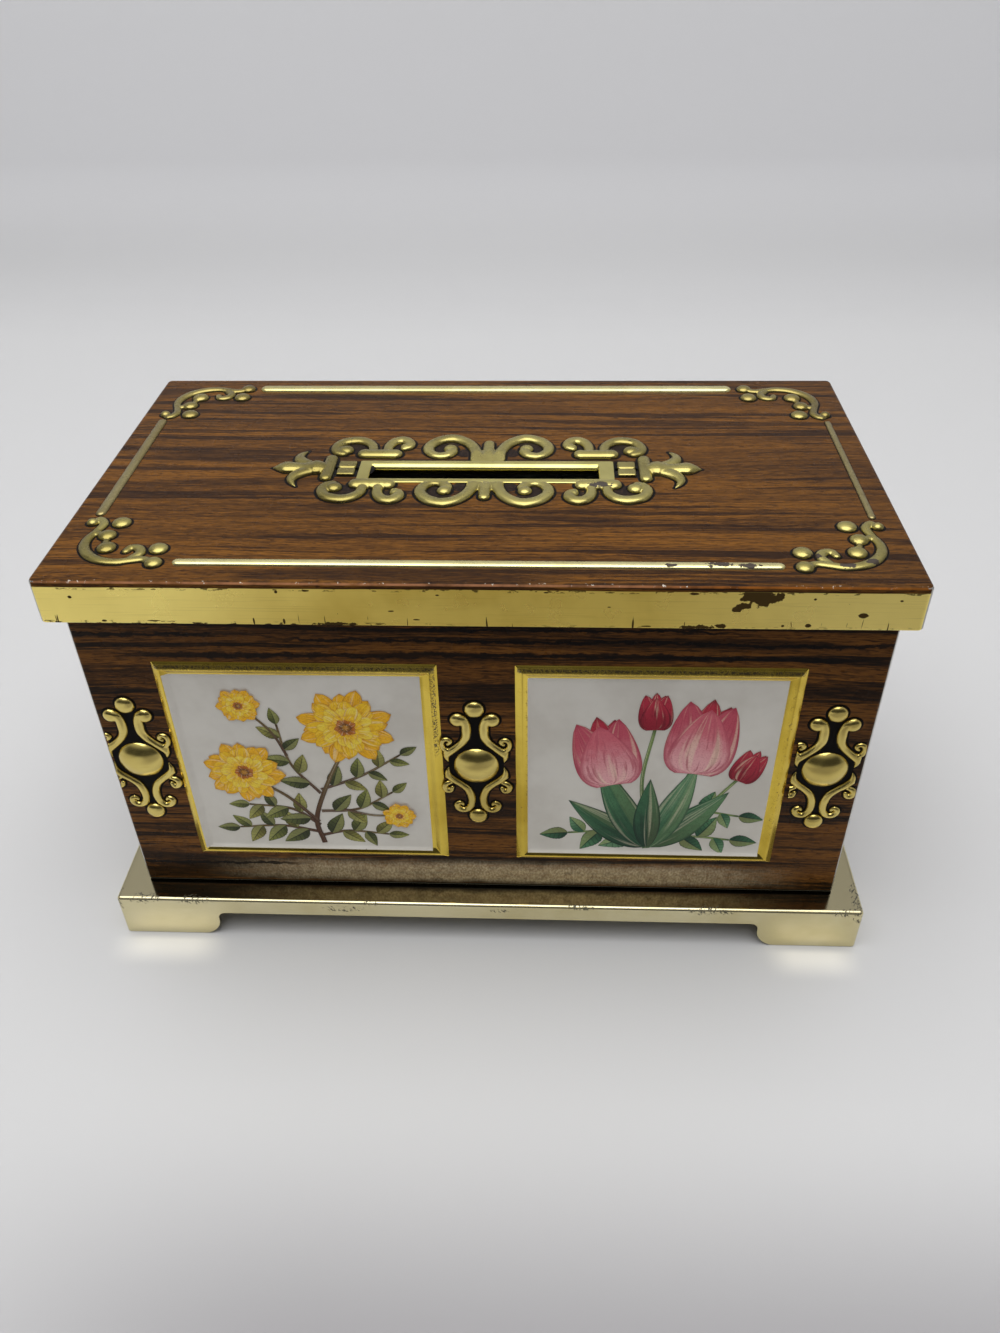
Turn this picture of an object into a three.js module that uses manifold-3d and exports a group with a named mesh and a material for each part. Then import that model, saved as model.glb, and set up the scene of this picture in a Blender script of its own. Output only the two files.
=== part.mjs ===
// Coin casket of pressed and printed tinplate: a hinged lid with a coin slot, a four-sided body with embossed
// picture frames, a floor pan and a plinth on four bracket feet.
// Millimetres, +Z up, the front faces -Y. The origin is on the ground under the middle of the body.
import * as THREE from "three";
import { mergeVertices } from "three/addons/utils/BufferGeometryUtils.js";
import Module from "manifold-3d";

// Sheet and clearances
const SHEET = 0.35; // thickness of the tinplate
const SEAT_GAP = 0.1; // between two fixed pieces that lie on each other
const RUN_GAP = 0.3; // between the lid and what it moves past
const CUT_OVERRUN = 1; // how far a cutting solid runs past what it cuts
const ROOT_DEPTH = 0.2; // how deep the foot of an embossed form lies in its sheet
const WELD = 0.0001; // points closer than this are one point
const LEAST_CORNER = 0.15; // smallest corner radius of an outline that is drawn inwards

// Body
const BODY_LENGTH = 145.7;
const BODY_DEPTH = 75.9;
const BODY_HEIGHT = 78.7;
const BODY_CORNER = 0.9;
const FOOT_FLANGE = 3.2; // the turned-in edge that the floor pan sits on
const FLANGE_FOLD = 0.6;
const SEAM_WIDTH = 4.5; // lock seam inside the back wall
const SEAM_SHEETS = 2; // sheets that the seam adds inside

// Front of the body
const END_FIELD = 13.75; // plain strip between the body's edge and a picture frame
const MIDDLE_FIELD = 14.3; // plain strip between the two picture frames
const FRONT_SHIFT = -0.6; // the whole print sits a little to the left
const FRAME_RISE = 9.1; // from the body's foot to the lower edge of the frames
const FRAME_HEIGHT = 50.4;
const FRAME_OUTER_SLOPE = 1.3;
const FRAME_INNER_SLOPE = 1.25;
const FRAME_RIDGE = 0.2;
const FRAME_LIFT = 0.75;

// Scroll ornament on the front
const CREST_HALF_HEIGHT = 15.7;
const CREST_HALF_WIDTH = 6.4;
const CREST_RAISE = 0.9; // its middle lies above that of the frames
const CREST_LIFT = 0.7;
const CREST_DROP_RADIUS = 1.9;
const BOSS_RADIUS = 4.5;
const BOSS_LIFT = 1.3;

// Lid
const SIDE_OVERHANG = 2.15; // lid skirt past the body at each end
const FRONT_OVERHANG = 4; // lid skirt past the body at the front and the back
const SKIRT_HEIGHT = 8.7;
const LID_CORNER = 1.2;
const LID_FOLD = 0.8; // radius of the fold round the lid's top
const HEM_HEIGHT = 6.2; // the folded-in lower edge of the skirt

// Coin slot
const SLOT_LENGTH = 44.2;
const SLOT_WIDTH = 4.9;
const SLOT_CORNER = 0.4;
const SLOT_LIP = 0.5; // rounding of the slot's upper edge
const SLOT_FLANGE = 1.5; // turned-down edge below the lid's top
const SLOT_SHIFT = -0.5; // the slot is punched a little to the left of its plate
const SLOT_SETBACK = -3.05; // from the lid's middle towards the front

// Ornament round the coin slot
const CROWN_HALF_LENGTH = 41.5;
const CROWN_HALF_WIDTH = 14.6;
const CROWN_SETBACK = -1.8; // from the lid's middle towards the front
const CROWN_SHIFT = 0.3;
const CROWN_LIFT = 0.8;
const CROWN_STROKE = 1.35; // half width of its widest scroll
const PLATE_LENGTH = 49.8;
const PLATE_WIDTH = 8.9;
const PLATE_SETBACK = -2.8; // the plate lies a little in front of the ornament's middle
const PLATE_LIFT = 0.25;
const BAR_HALF_WIDTH = 1.6;

// Corner scrolls and edge lines of the lid
const CORNER_REACH = 21.5; // from the lid's edge to the far end of a corner scroll
const CORNER_LIFT = 0.7;
const CORNER_STROKE = 1.3; // half width of its widest stretch
const CORNER_BEAD_RADIUS = 1.7;
const LINE_HALF_WIDTH = 0.9;
const LINE_LIFT = 0.5;
const LINE_INSET = 5.6; // from the lid's edge
const LINE_END_GAP = 1.9; // from a line's end to the corner scroll's reach

// Plinth
const PLINTH_SIDE_LEDGE = 5.6; // past the body at each end
const PLINTH_FRONT_LEDGE = 5.3; // past the body at the front and the back
const PLINTH_HEIGHT = 11;
const PLINTH_CORNER = 0.9;
const PLINTH_FOLD = 0.8;
const APRON_HEIGHT = 4.1;
const FOOT_LENGTH = 18; // flat underside of a foot along the front
const FOOT_DEPTH = 15; // flat underside of a foot along the side
const FOOT_TOE = 3.2; // convex rounding at the toe of a foot
const FOOT_THROAT = 1.6; // concave rounding where a foot meets the apron
const FOOT_TURN = 2.4; // turned-in lower edge of a foot

// Floor pan
const PAN_LIP = 3;

// Hinges
const HINGE_INSET = 27.85; // from the body's end to the middle of a hinge
const LEAF_WIDTH = 16;
const LEAF_SHEET = 0.5;
const LID_LEAF_HEIGHT = 6;
const BODY_LEAF_HEIGHT = 9;
const MIDDLE_KNUCKLE = 6;
const KNUCKLE_GAP = 0.2;
const PIN_GAP = 0.1;
const PIN_END = 0.4; // how far a pin stands out of its knuckles

// Rivets
const RIVET_SHANK_RADIUS = 0.8;
const RIVET_HEAD_RADIUS = 1.5;
const RIVET_HEAD_HEIGHT = 0.5;
const RIVET_HOLE_GAP = 0.1;
const LEAF_RIVET_OFFSET = 4.6; // from the middle of a leaf
const LID_RIVET_RISE = 3.8; // from the hinge line
const BODY_RIVET_DROP = 5.8; // from the hinge line
const PLINTH_RIVET_INSET = 14; // from the body's walls

// Facets
const CORNER_STEPS = 3;
const FOLD_STEPS = 2;
const CURL_STEPS = 7;
const ROUND_SIDES = 16;
const SMALL_SIDES = 8;
const BOSS_ROWS = 4;
const TOE_STEPS = 4;

// Levels and places that follow from the sizes above
const BODY_FOOT = PLINTH_HEIGHT + SEAT_GAP;
const PAN_UNDERSIDE = BODY_FOOT + SHEET + SEAT_GAP;
const PAN_TOP = PAN_UNDERSIDE + PAN_LIP;
const RIM_TOP = BODY_FOOT + BODY_HEIGHT;
const LID_UNDERSIDE = RIM_TOP + RUN_GAP;
const LID_TOP = LID_UNDERSIDE + SHEET;
const SKIRT_FOOT = LID_TOP - SKIRT_HEIGHT;
const LID_HALF_LENGTH = BODY_LENGTH / 2 + SIDE_OVERHANG;
const LID_HALF_DEPTH = BODY_DEPTH / 2 + FRONT_OVERHANG;
const RIM_OUT = Math.min(SIDE_OVERHANG, FRONT_OVERHANG) - 2 * SHEET - RUN_GAP;
const FRAME_LENGTH = (BODY_LENGTH - 2 * END_FIELD - MIDDLE_FIELD) / 2;
const FRAME_PITCH = (FRAME_LENGTH + MIDDLE_FIELD) / 2;
const FRAME_MIDDLE = BODY_FOOT + FRAME_RISE + FRAME_HEIGHT / 2;
const CREST_MIDDLE = FRAME_MIDDLE + CREST_RAISE;
const CREST_PITCH = (BODY_LENGTH - END_FIELD) / 2;
const BODY_FRONT = -BODY_DEPTH / 2;
const BODY_BACK = BODY_DEPTH / 2;
const HINGE_LINE_Z = SKIRT_FOOT;
const KNUCKLE_RADIUS = (FRONT_OVERHANG - 2 * SHEET - 2 * SEAT_GAP) / 2;
const HINGE_LINE_Y = BODY_BACK + SEAT_GAP + KNUCKLE_RADIUS;
const HINGE_OFFSET = BODY_LENGTH / 2 - HINGE_INSET;
const KNUCKLE_BORE = KNUCKLE_RADIUS - LEAF_SHEET;
const PIN_RADIUS = KNUCKLE_BORE - PIN_GAP;

const BODY_OUTLINE = { halfX: BODY_LENGTH / 2, halfY: BODY_DEPTH / 2, corner: BODY_CORNER };
const LID_OUTLINE = { halfX: LID_HALF_LENGTH, halfY: LID_HALF_DEPTH, corner: LID_CORNER };
const PLINTH_OUTLINE = {
  halfX: BODY_LENGTH / 2 + PLINTH_SIDE_LEDGE,
  halfY: BODY_DEPTH / 2 + PLINTH_FRONT_LEDGE,
  corner: PLINTH_CORNER,
};
const SLOT_OUTLINE = { halfX: SLOT_LENGTH / 2, halfY: SLOT_WIDTH / 2, corner: SLOT_CORNER };
const FRAME_OUTLINE = { halfX: FRAME_LENGTH / 2, halfY: FRAME_HEIGHT / 2, corner: 0 };

// Colours and surface of each finish
const FINISHES = {
  woodPrint: { color: 0x5a3319, roughness: 0.35, metalness: 0.25 },
  paleGold: { color: 0xc9bd85, roughness: 0.3, metalness: 0.9 },
  brightTin: { color: 0xc6c6c0, roughness: 0.35, metalness: 0.9 },
  brassLacquer: { color: 0xb89a45, roughness: 0.35, metalness: 0.9 },
  steel: { color: 0x8f9092, roughness: 0.4, metalness: 1 },
};

const wasm = await Module();
wasm.setup();

// Makes a solid from a closed geometry.
function toSolid(geometry) {
  const bare = geometry.index ? geometry.toNonIndexed() : geometry.clone();
  bare.deleteAttribute("normal");
  bare.deleteAttribute("uv");
  const merged = mergeVertices(bare, WELD);
  return new wasm.Manifold(
    new wasm.Mesh({
      numProp: 3,
      vertProperties: merged.attributes.position.array,
      triVerts: new Uint32Array(merged.index.array),
    }),
  );
}

// Makes a geometry from a solid.
function toGeometry(solid) {
  const mesh = solid.getMesh();
  const positions = new Float32Array(mesh.numVert * 3);
  for (let i = 0; i < mesh.numVert; i++) {
    positions.set(mesh.vertProperties.subarray(i * mesh.numProp, i * mesh.numProp + 3), i * 3);
  }
  const geometry = new THREE.BufferGeometry();
  geometry.setAttribute("position", new THREE.BufferAttribute(positions, 3));
  geometry.setIndex(new THREE.BufferAttribute(new Uint32Array(mesh.triVerts), 1));
  geometry.computeVertexNormals();
  return geometry;
}

// Joins several solids into one.
function joined(solids) {
  return solids.reduce((sum, solid) => sum.add(solid));
}

function named(name, solid, finish) {
  const mesh = new THREE.Mesh(toGeometry(solid), new THREE.MeshStandardMaterial(FINISHES[finish]));
  mesh.name = name;
  return mesh;
}

// Points round a rectangle with rounded corners, seen from above anticlockwise. "out" pushes them outwards.
// An outline with no corner radius keeps four mitred corners.
function ringPoints(outline, out, height) {
  const radius = outline.corner > 0 ? Math.max(outline.corner + out, LEAST_CORNER) : 0;
  const steps = outline.corner > 0 ? CORNER_STEPS : 0;
  const points = [];
  for (let corner = 0; corner < 4; corner++) {
    const signX = corner === 0 || corner === 3 ? 1 : -1;
    const signY = corner < 2 ? 1 : -1;
    for (let step = 0; step <= steps; step++) {
      const angle = ((corner + (steps ? step / steps : 0)) * Math.PI) / 2;
      points.push([
        signX * (outline.halfX + out - radius) + radius * Math.cos(angle),
        signY * (outline.halfY + out - radius) + radius * Math.sin(angle),
        height,
      ]);
    }
  }
  return points;
}

// Joins rings of equally many points into one skin. A closed profile runs back to its first ring, and an open one
// gets a flat cap at each end. Rows that rise have their faces outwards.
function skin(rings, closed) {
  const count = rings[0].length;
  const index = [];
  const last = closed ? rings.length : rings.length - 1;
  for (let i = 0; i < last; i++) {
    const below = i * count;
    const above = ((i + 1) % rings.length) * count;
    for (let j = 0; j < count; j++) {
      const next = (j + 1) % count;
      index.push(below + j, below + next, above + next);
      index.push(below + j, above + next, above + j);
    }
  }
  if (!closed) {
    const top = (rings.length - 1) * count;
    for (let j = 1; j < count - 1; j++) {
      index.push(0, j + 1, j);
      index.push(top, top + j, top + j + 1);
    }
  }
  const geometry = new THREE.BufferGeometry();
  geometry.setAttribute("position", new THREE.Float32BufferAttribute(rings.flat(2), 3));
  geometry.setIndex(index);
  return geometry;
}

// Solid whose cross-section is the outline, with rows of [out, height] from its foot to its top.
function stack(outline, rows) {
  return toSolid(skin(rows.map(([out, height]) => ringPoints(outline, out, height)), false));
}

// Frame-like solid: a closed profile of [out, height] points, anticlockwise, led round the outline.
function moulding(outline, profile) {
  return toSolid(skin(profile.map(([out, height]) => ringPoints(outline, out, height)), true));
}

// Points of an arc in a profile, from one angle to the other in degrees.
function arc(out, height, radius, from, to, steps) {
  const points = [];
  for (let i = 0; i <= steps; i++) {
    const angle = THREE.MathUtils.degToRad(from + ((to - from) * i) / steps);
    points.push([out + radius * Math.cos(angle), height + radius * Math.sin(angle)]);
  }
  return points;
}

// Shares of a scroll's cross-section, anticlockwise: across its half width and up its lift.
const SECTION_SHARES = [
  [-1, 0],
  [1, 0],
  [0.6, 1],
  [-0.6, 1],
];

// A raised stroke on the plane z = 0, led through places of [x, y, half width], with flat ends.
function stroke(places, lift, rows) {
  const curve = new THREE.CatmullRomCurve3(
    places.map(([x, y, half]) => new THREE.Vector3(x, y, half)),
    false,
    "centripetal",
  );
  const centres = curve.getPoints(rows);
  const widest = Math.max(...places.map((place) => place[2]));
  const rings = centres.map((centre, i) => {
    const before = centres[Math.max(i - 1, 0)];
    const after = centres[Math.min(i + 1, centres.length - 1)];
    const along = new THREE.Vector2(after.x - before.x, after.y - before.y).normalize();
    const half = Math.max(centre.z, widest * LEAST_WIDTH_SHARE);
    const height = lift * Math.sqrt(half / widest);
    return SECTION_SHARES.map(([across, up]) => [
      centre.x - along.y * half * across,
      centre.y + along.x * half * across,
      up > 0 ? height * up : -ROOT_DEPTH,
    ]);
  });
  return toSolid(skin(rings, false));
}

// A stroke's tip is never thinner than this share of its widest place.
const LEAST_WIDTH_SHARE = 0.12;

// Shares of a dome's profile: across its radius and up its lift.
const BEAD_SHARES = [
  [1, 0],
  [0.74, 0.72],
  [0, 1],
];

// A raised dome on the plane z = 0.
function dome(x, y, radius, lift, sides, shares) {
  const profile = [new THREE.Vector2(0, -ROOT_DEPTH), new THREE.Vector2(radius, -ROOT_DEPTH)];
  for (const [across, up] of shares) {
    if (up > 0) {
      profile.push(new THREE.Vector2(radius * across, lift * up));
    }
  }
  const geometry = new THREE.LatheGeometry(profile, sides);
  geometry.rotateX(Math.PI / 2);
  geometry.translate(x, y, 0);
  return toSolid(geometry);
}

function bead(x, y, radius, lift) {
  return dome(x, y, radius, lift, SMALL_SIDES, BEAD_SHARES);
}

// Turns shares of a form's half length, half width and widest stroke into places.
function placesOf(shares, halfX, halfY, widest) {
  return shares.map(([x, y, half]) => [x * halfX, y * halfY, half * widest]);
}

// The same solid with its sides swapped in x, in y or in both.
function mirrored(solid, signX, signY) {
  let turned = solid;
  if (signX < 0) {
    turned = turned.mirror([1, 0, 0]);
  }
  if (signY < 0) {
    turned = turned.mirror([0, 1, 0]);
  }
  return turned;
}

function fourWays(solid) {
  return [
    [1, 1],
    [-1, 1],
    [-1, -1],
    [1, -1],
  ].map(([signX, signY]) => mirrored(solid, signX, signY));
}

function twoWays(solid) {
  return [solid, mirrored(solid, -1, 1)];
}

// Ornament round the coin slot. Each row is a share of its half length, of its half width and of its widest
// stroke, for the quarter to the right and towards the back.
const VOLUTE_SHARES = [
  [0.058, 0.3, 1.05],
  [0.064, 0.56, 0.8],
  [0.1, 0.77, 0.95],
  [0.172, 0.9, 1],
  [0.245, 0.835, 1],
  [0.287, 0.665, 0.95],
  [0.285, 0.475, 0.8],
  [0.235, 0.37, 0.65],
  [0.182, 0.42, 0.6],
  [0.167, 0.54, 0.6],
];
const VOLUTE_EYE_SHARES = [0.181, 0.61, 0.8];
const STEM_SHARES = [
  [0, 0.28, 1],
  [0, 0.6, 0.9],
  [0, 0.77, 0.9],
  [0, 0.825, 0.5],
];
const INNER_SCROLL_SHARES = [
  [0.489, 0.44, 0.65],
  [0.478, 0.69, 0.7],
  [0.423, 0.83, 0.8],
  [0.373, 0.73, 0.8],
  [0.384, 0.6, 0.7],
];
const INNER_EYE_SHARES = [0.405, 0.615, 0.7];
const OUTER_SCROLL_SHARES = [
  [0.546, 0.44, 0.65],
  [0.559, 0.665, 0.75],
  [0.611, 0.78, 0.85],
  [0.683, 0.77, 0.9],
  [0.735, 0.6, 0.8],
  [0.727, 0.43, 0.7],
  [0.68, 0.385, 0.65],
];
const OUTER_EYE_SHARES = [0.684, 0.52, 0.8];
const LONG_BAR_SHARES = [
  [0.404, 0.422, 0.5],
  [0.43, 0.422, 0.94],
  [0.6, 0.422, 0.94],
  [0.626, 0.422, 0.5],
];
const CROSS_BAR_SHARES = [
  [0.737, -0.34, 0.4],
  [0.737, -0.26, 0.8],
  [0.737, 0.26, 0.8],
  [0.737, 0.34, 0.4],
];
const BRIDGE_SHARES = [
  [0.59, 0, 1.35],
  [0.66, 0, 1.5],
  [0.71, 0, 1.7],
];
const LILY_HEART_SHARES = [
  [0.77, 0, 1.6],
  [0.84, 0, 0.95],
  [0.9, 0, 1.15],
  [0.945, 0, 1.3],
  [0.98, 0, 0.7],
  [1, 0, 0.2],
];
const LILY_PETAL_SHARES = [
  [0.8, 0.02, 0.9],
  [0.855, 0.1, 0.95],
  [0.893, 0.21, 0.85],
  [0.893, 0.33, 0.55],
  [0.86, 0.435, 0.15],
];

function crownRelief() {
  const at = (shares, rows) =>
    stroke(placesOf(shares, CROWN_HALF_LENGTH, CROWN_HALF_WIDTH, CROWN_STROKE), CROWN_LIFT, rows);
  const bar = (shares, rows) =>
    stroke(placesOf(shares, CROWN_HALF_LENGTH, CROWN_HALF_WIDTH, BAR_HALF_WIDTH), CROWN_LIFT, rows);
  const eye = ([x, y, radius]) =>
    bead(x * CROWN_HALF_LENGTH, y * CROWN_HALF_WIDTH, radius * CROWN_STROKE, CROWN_LIFT);
  const quarter = joined([
    at(VOLUTE_SHARES, 15),
    eye(VOLUTE_EYE_SHARES),
    at(INNER_SCROLL_SHARES, 7),
    eye(INNER_EYE_SHARES),
    at(OUTER_SCROLL_SHARES, 11),
    eye(OUTER_EYE_SHARES),
    bar(LONG_BAR_SHARES, 3),
    at(LILY_PETAL_SHARES, 5),
  ]);
  const side = joined([bar(CROSS_BAR_SHARES, 3), at(BRIDGE_SHARES, 1), at(LILY_HEART_SHARES, 6)]);
  const stem = at(STEM_SHARES, 4);
  const plate = toSolid(new THREE.BoxGeometry(PLATE_LENGTH, PLATE_WIDTH, PLATE_LIFT + ROOT_DEPTH));
  return joined([
    ...fourWays(quarter),
    ...twoWays(side),
    stem,
    mirrored(stem, 1, -1),
    plate.translate([0, PLATE_SETBACK - CROWN_SETBACK, (PLATE_LIFT - ROOT_DEPTH) / 2]),
  ]).translate([CROWN_SHIFT, CROWN_SETBACK, LID_TOP]);
}

// Corner scroll of the lid. Each row is a share of its reach from the lid's side, of its reach from the lid's
// front and of its widest stroke.
const CORNER_SCROLL_SHARES = [
  [0.235, 0.9, 0.6],
  [0.28, 0.95, 0.7],
  [0.33, 0.85, 0.7],
  [0.31, 0.74, 0.62],
  [0.268, 0.61, 0.85],
  [0.288, 0.484, 1],
  [0.367, 0.367, 0.95],
  [0.488, 0.288, 0.82],
  [0.616, 0.27, 0.78],
  [0.73, 0.302, 0.7],
  [0.83, 0.326, 0.62],
  [0.9, 0.28, 0.7],
];
const CORNER_STUB_SHARES = [
  [0.3, 0.72, 0.6],
  [0.42, 0.68, 0.6],
];
const CORNER_COMMA_SHARES = [
  [0.66, 0.45, 0.4],
  [0.7, 0.51, 0.65],
  [0.765, 0.48, 0.75],
  [0.78, 0.4, 0.75],
  [0.73, 0.32, 0.7],
];
// Places of the beads, each with a share of the bead radius.
const CORNER_BEAD_SHARES = [
  [0.228, 0.888, 0.65],
  [0.479, 0.884, 1],
  [0.423, 0.68, 0.95],
  [0.479, 0.484, 1],
  [0.912, 0.474, 1],
  [0.93, 0.265, 0.9],
];

function cornerRelief() {
  const at = (shares, rows) =>
    stroke(placesOf(shares, CORNER_REACH, CORNER_REACH, CORNER_STROKE), CORNER_LIFT, rows);
  const beads = CORNER_BEAD_SHARES.map(([x, y, radius]) =>
    bead(x * CORNER_REACH, y * CORNER_REACH, radius * CORNER_BEAD_RADIUS, CORNER_LIFT),
  );
  const scroll = [at(CORNER_SCROLL_SHARES, 15), at(CORNER_STUB_SHARES, 1), at(CORNER_COMMA_SHARES, 6)];
  return [...scroll, ...beads].map((solid) => solid.translate([-LID_HALF_LENGTH, -LID_HALF_DEPTH, LID_TOP]));
}

// The four raised lines that run along the lid's edges between the corner scrolls.
function edgeLines() {
  const alongX = LID_HALF_LENGTH - CORNER_REACH - LINE_END_GAP;
  const alongY = LID_HALF_DEPTH - CORNER_REACH;
  const line = (half, turned) => {
    const flat = stroke(
      [
        [-half, 0, LINE_HALF_WIDTH],
        [half, 0, LINE_HALF_WIDTH],
      ],
      LINE_LIFT,
      1,
    );
    return turned ? flat.rotate([0, 0, 90]) : flat;
  };
  const offsetY = LID_HALF_DEPTH - LINE_INSET;
  const offsetX = LID_HALF_LENGTH - LINE_INSET;
  return [
    line(alongX, false).translate([0, -offsetY, LID_TOP]),
    line(alongX, false).translate([0, offsetY, LID_TOP]),
    line(alongY, true).translate([-offsetX, 0, LID_TOP]),
    line(alongY, true).translate([offsetX, 0, LID_TOP]),
  ];
}

function lidShell() {
  const outer = stack(LID_OUTLINE, [
    [0, SKIRT_FOOT],
    ...arc(-LID_FOLD, LID_TOP - LID_FOLD, LID_FOLD, 0, 90, FOLD_STEPS),
  ]);
  const innerFold = Math.max(LID_FOLD - SHEET, LEAST_CORNER);
  const inner = stack(LID_OUTLINE, [
    [-2 * SHEET, SKIRT_FOOT - CUT_OVERRUN],
    [-2 * SHEET, SKIRT_FOOT + HEM_HEIGHT],
    [-SHEET, SKIRT_FOOT + HEM_HEIGHT],
    ...arc(-SHEET - innerFold, LID_UNDERSIDE - innerFold, innerFold, 0, 90, FOLD_STEPS),
  ]);
  const slotPlace = [CROWN_SHIFT + SLOT_SHIFT, SLOT_SETBACK, 0];
  const plateTop = LID_TOP + PLATE_LIFT;
  const flange = stack(SLOT_OUTLINE, [
    [SHEET, LID_TOP - SLOT_FLANGE],
    [SHEET, LID_TOP - SHEET / 2],
  ]).translate(slotPlace);
  const slot = stack(SLOT_OUTLINE, [
    [0, LID_TOP - SLOT_FLANGE - CUT_OVERRUN],
    [0, plateTop - SLOT_LIP],
    [SLOT_LIP * 0.3, plateTop - SLOT_LIP * 0.3],
    [SLOT_LIP, plateTop],
    [SLOT_LIP, plateTop + CUT_OVERRUN],
  ]).translate(slotPlace);
  let lid = joined([outer.subtract(inner), flange, crownRelief(), ...edgeLines()]);
  for (const corner of cornerRelief()) {
    lid = joined([lid, ...fourWays(corner)]);
  }
  lid = lid.subtract(slot);
  for (const place of leafRivetPlaces()) {
    lid = lid.subtract(rivetHole(place.x, HINGE_LINE_Y, LID_HALF_DEPTH, HINGE_LINE_Z + LID_RIVET_RISE));
  }
  return named("lid_shell", lid, "woodPrint");
}

// Scroll ornament of the front. Each row is a share of its half width, of its half height and of its widest
// stroke. The upper scrolls end in a round head, and the lower ones curl round to an eye.
const CREST_STROKE = 0.9; // half width of its widest scroll
const CREST_UPPER_SHARES = [
  [0.8, 0.05, 0.15],
  [0.83, 0.13, 0.7],
  [0.76, 0.21, 0.9],
  [0.55, 0.305, 0.75],
  [0.3, 0.395, 0.8],
  [0.18, 0.49, 0.88],
  [0.165, 0.58, 0.88],
  [0.2, 0.68, 0.85],
  [0.32, 0.75, 1],
  [0.46, 0.76, 1],
];
const CREST_HEAD_SHARES = [0.49, 0.735, 1.7];
const CREST_LOWER_SHARES = [
  [0.8, -0.05, 0.15],
  [0.83, -0.13, 0.7],
  [0.74, -0.21, 0.85],
  [0.53, -0.31, 0.75],
  [0.3, -0.41, 0.8],
  [0.17, -0.52, 0.9],
  [0.16, -0.63, 0.85],
  [0.22, -0.72, 0.75],
  [0.38, -0.785, 0.7],
  [0.55, -0.75, 0.75],
  [0.56, -0.68, 0.7],
  [0.46, -0.66, 0.6],
];
const CREST_CURL_SHARES = [
  [0.78, 0.26, 0.5],
  [0.93, 0.325, 0.6],
  [0.95, 0.4, 0.62],
  [0.85, 0.455, 0.62],
  [0.72, 0.42, 0.6],
  [0.74, 0.37, 0.45],
];
const CREST_DROP_SHARE = 0.885;

// Shares of the boss's profile: a quarter of a circle.
function bossShares() {
  const shares = [];
  for (let i = 0; i <= BOSS_ROWS; i++) {
    const angle = (i / BOSS_ROWS) * (Math.PI / 2);
    shares.push([i === BOSS_ROWS ? 0 : Math.cos(angle), Math.sin(angle)]);
  }
  return shares;
}

function crestRelief() {
  const at = (shares, rows) =>
    stroke(placesOf(shares, CREST_HALF_WIDTH, CREST_HALF_HEIGHT, CREST_STROKE), CREST_LIFT, rows);
  const [headX, headY, headRadius] = CREST_HEAD_SHARES;
  const head = bead(headX * CREST_HALF_WIDTH, headY * CREST_HALF_HEIGHT, headRadius * CREST_STROKE, CREST_LIFT);
  const half = joined([at(CREST_UPPER_SHARES, 11), head, at(CREST_LOWER_SHARES, 14)]);
  const curl = at(CREST_CURL_SHARES, 7);
  const drop = bead(0, CREST_DROP_SHARE * CREST_HALF_HEIGHT, CREST_DROP_RADIUS, CREST_LIFT);
  const boss = dome(0, 0, BOSS_RADIUS, BOSS_LIFT, ROUND_SIDES, bossShares());
  return joined([...twoWays(half), ...fourWays(curl), drop, mirrored(drop, 1, -1), boss]);
}

// Raised moulding of a picture frame, drawn inwards from its outer edge.
function frameRelief() {
  const ridgeOuter = -FRAME_OUTER_SLOPE;
  const ridgeInner = ridgeOuter - FRAME_RIDGE;
  const foot = ridgeInner - FRAME_INNER_SLOPE;
  return moulding(FRAME_OUTLINE, [
    [0, -ROOT_DEPTH],
    [0, 0],
    [ridgeOuter, FRAME_LIFT],
    [ridgeInner, FRAME_LIFT],
    [foot, 0],
    [foot, -ROOT_DEPTH],
  ]);
}

// Stands a relief of the plane z = 0 up on the body's front.
function onFront(solid, x, z) {
  return solid.rotate([90, 0, 0]).translate([x + FRONT_SHIFT, BODY_FRONT, z]);
}

// The wall's profile: foot flange, wall and a rim that curls outwards over itself.
function wallProfile() {
  const curlOuter = (RIM_OUT + SHEET) / 2;
  const curlInner = Math.max(curlOuter - SHEET, LEAST_CORNER);
  const curlOut = -SHEET + curlOuter;
  const curlHeight = RIM_TOP - curlOuter;
  const foldInner = Math.max(FLANGE_FOLD - SHEET, LEAST_CORNER);
  return [
    [-FOOT_FLANGE, BODY_FOOT],
    ...arc(-FLANGE_FOLD, BODY_FOOT + FLANGE_FOLD, FLANGE_FOLD, -90, 0, FOLD_STEPS),
    [0, curlHeight],
    ...arc(curlOut, curlHeight, curlInner, 165, -100, CURL_STEPS),
    ...arc(curlOut, curlHeight, curlOuter, -100, 180, CURL_STEPS),
    ...arc(-SHEET - foldInner, BODY_FOOT + SHEET + foldInner, foldInner, 0, -90, FOLD_STEPS),
    [-FOOT_FLANGE, BODY_FOOT + SHEET],
  ];
}

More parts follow.
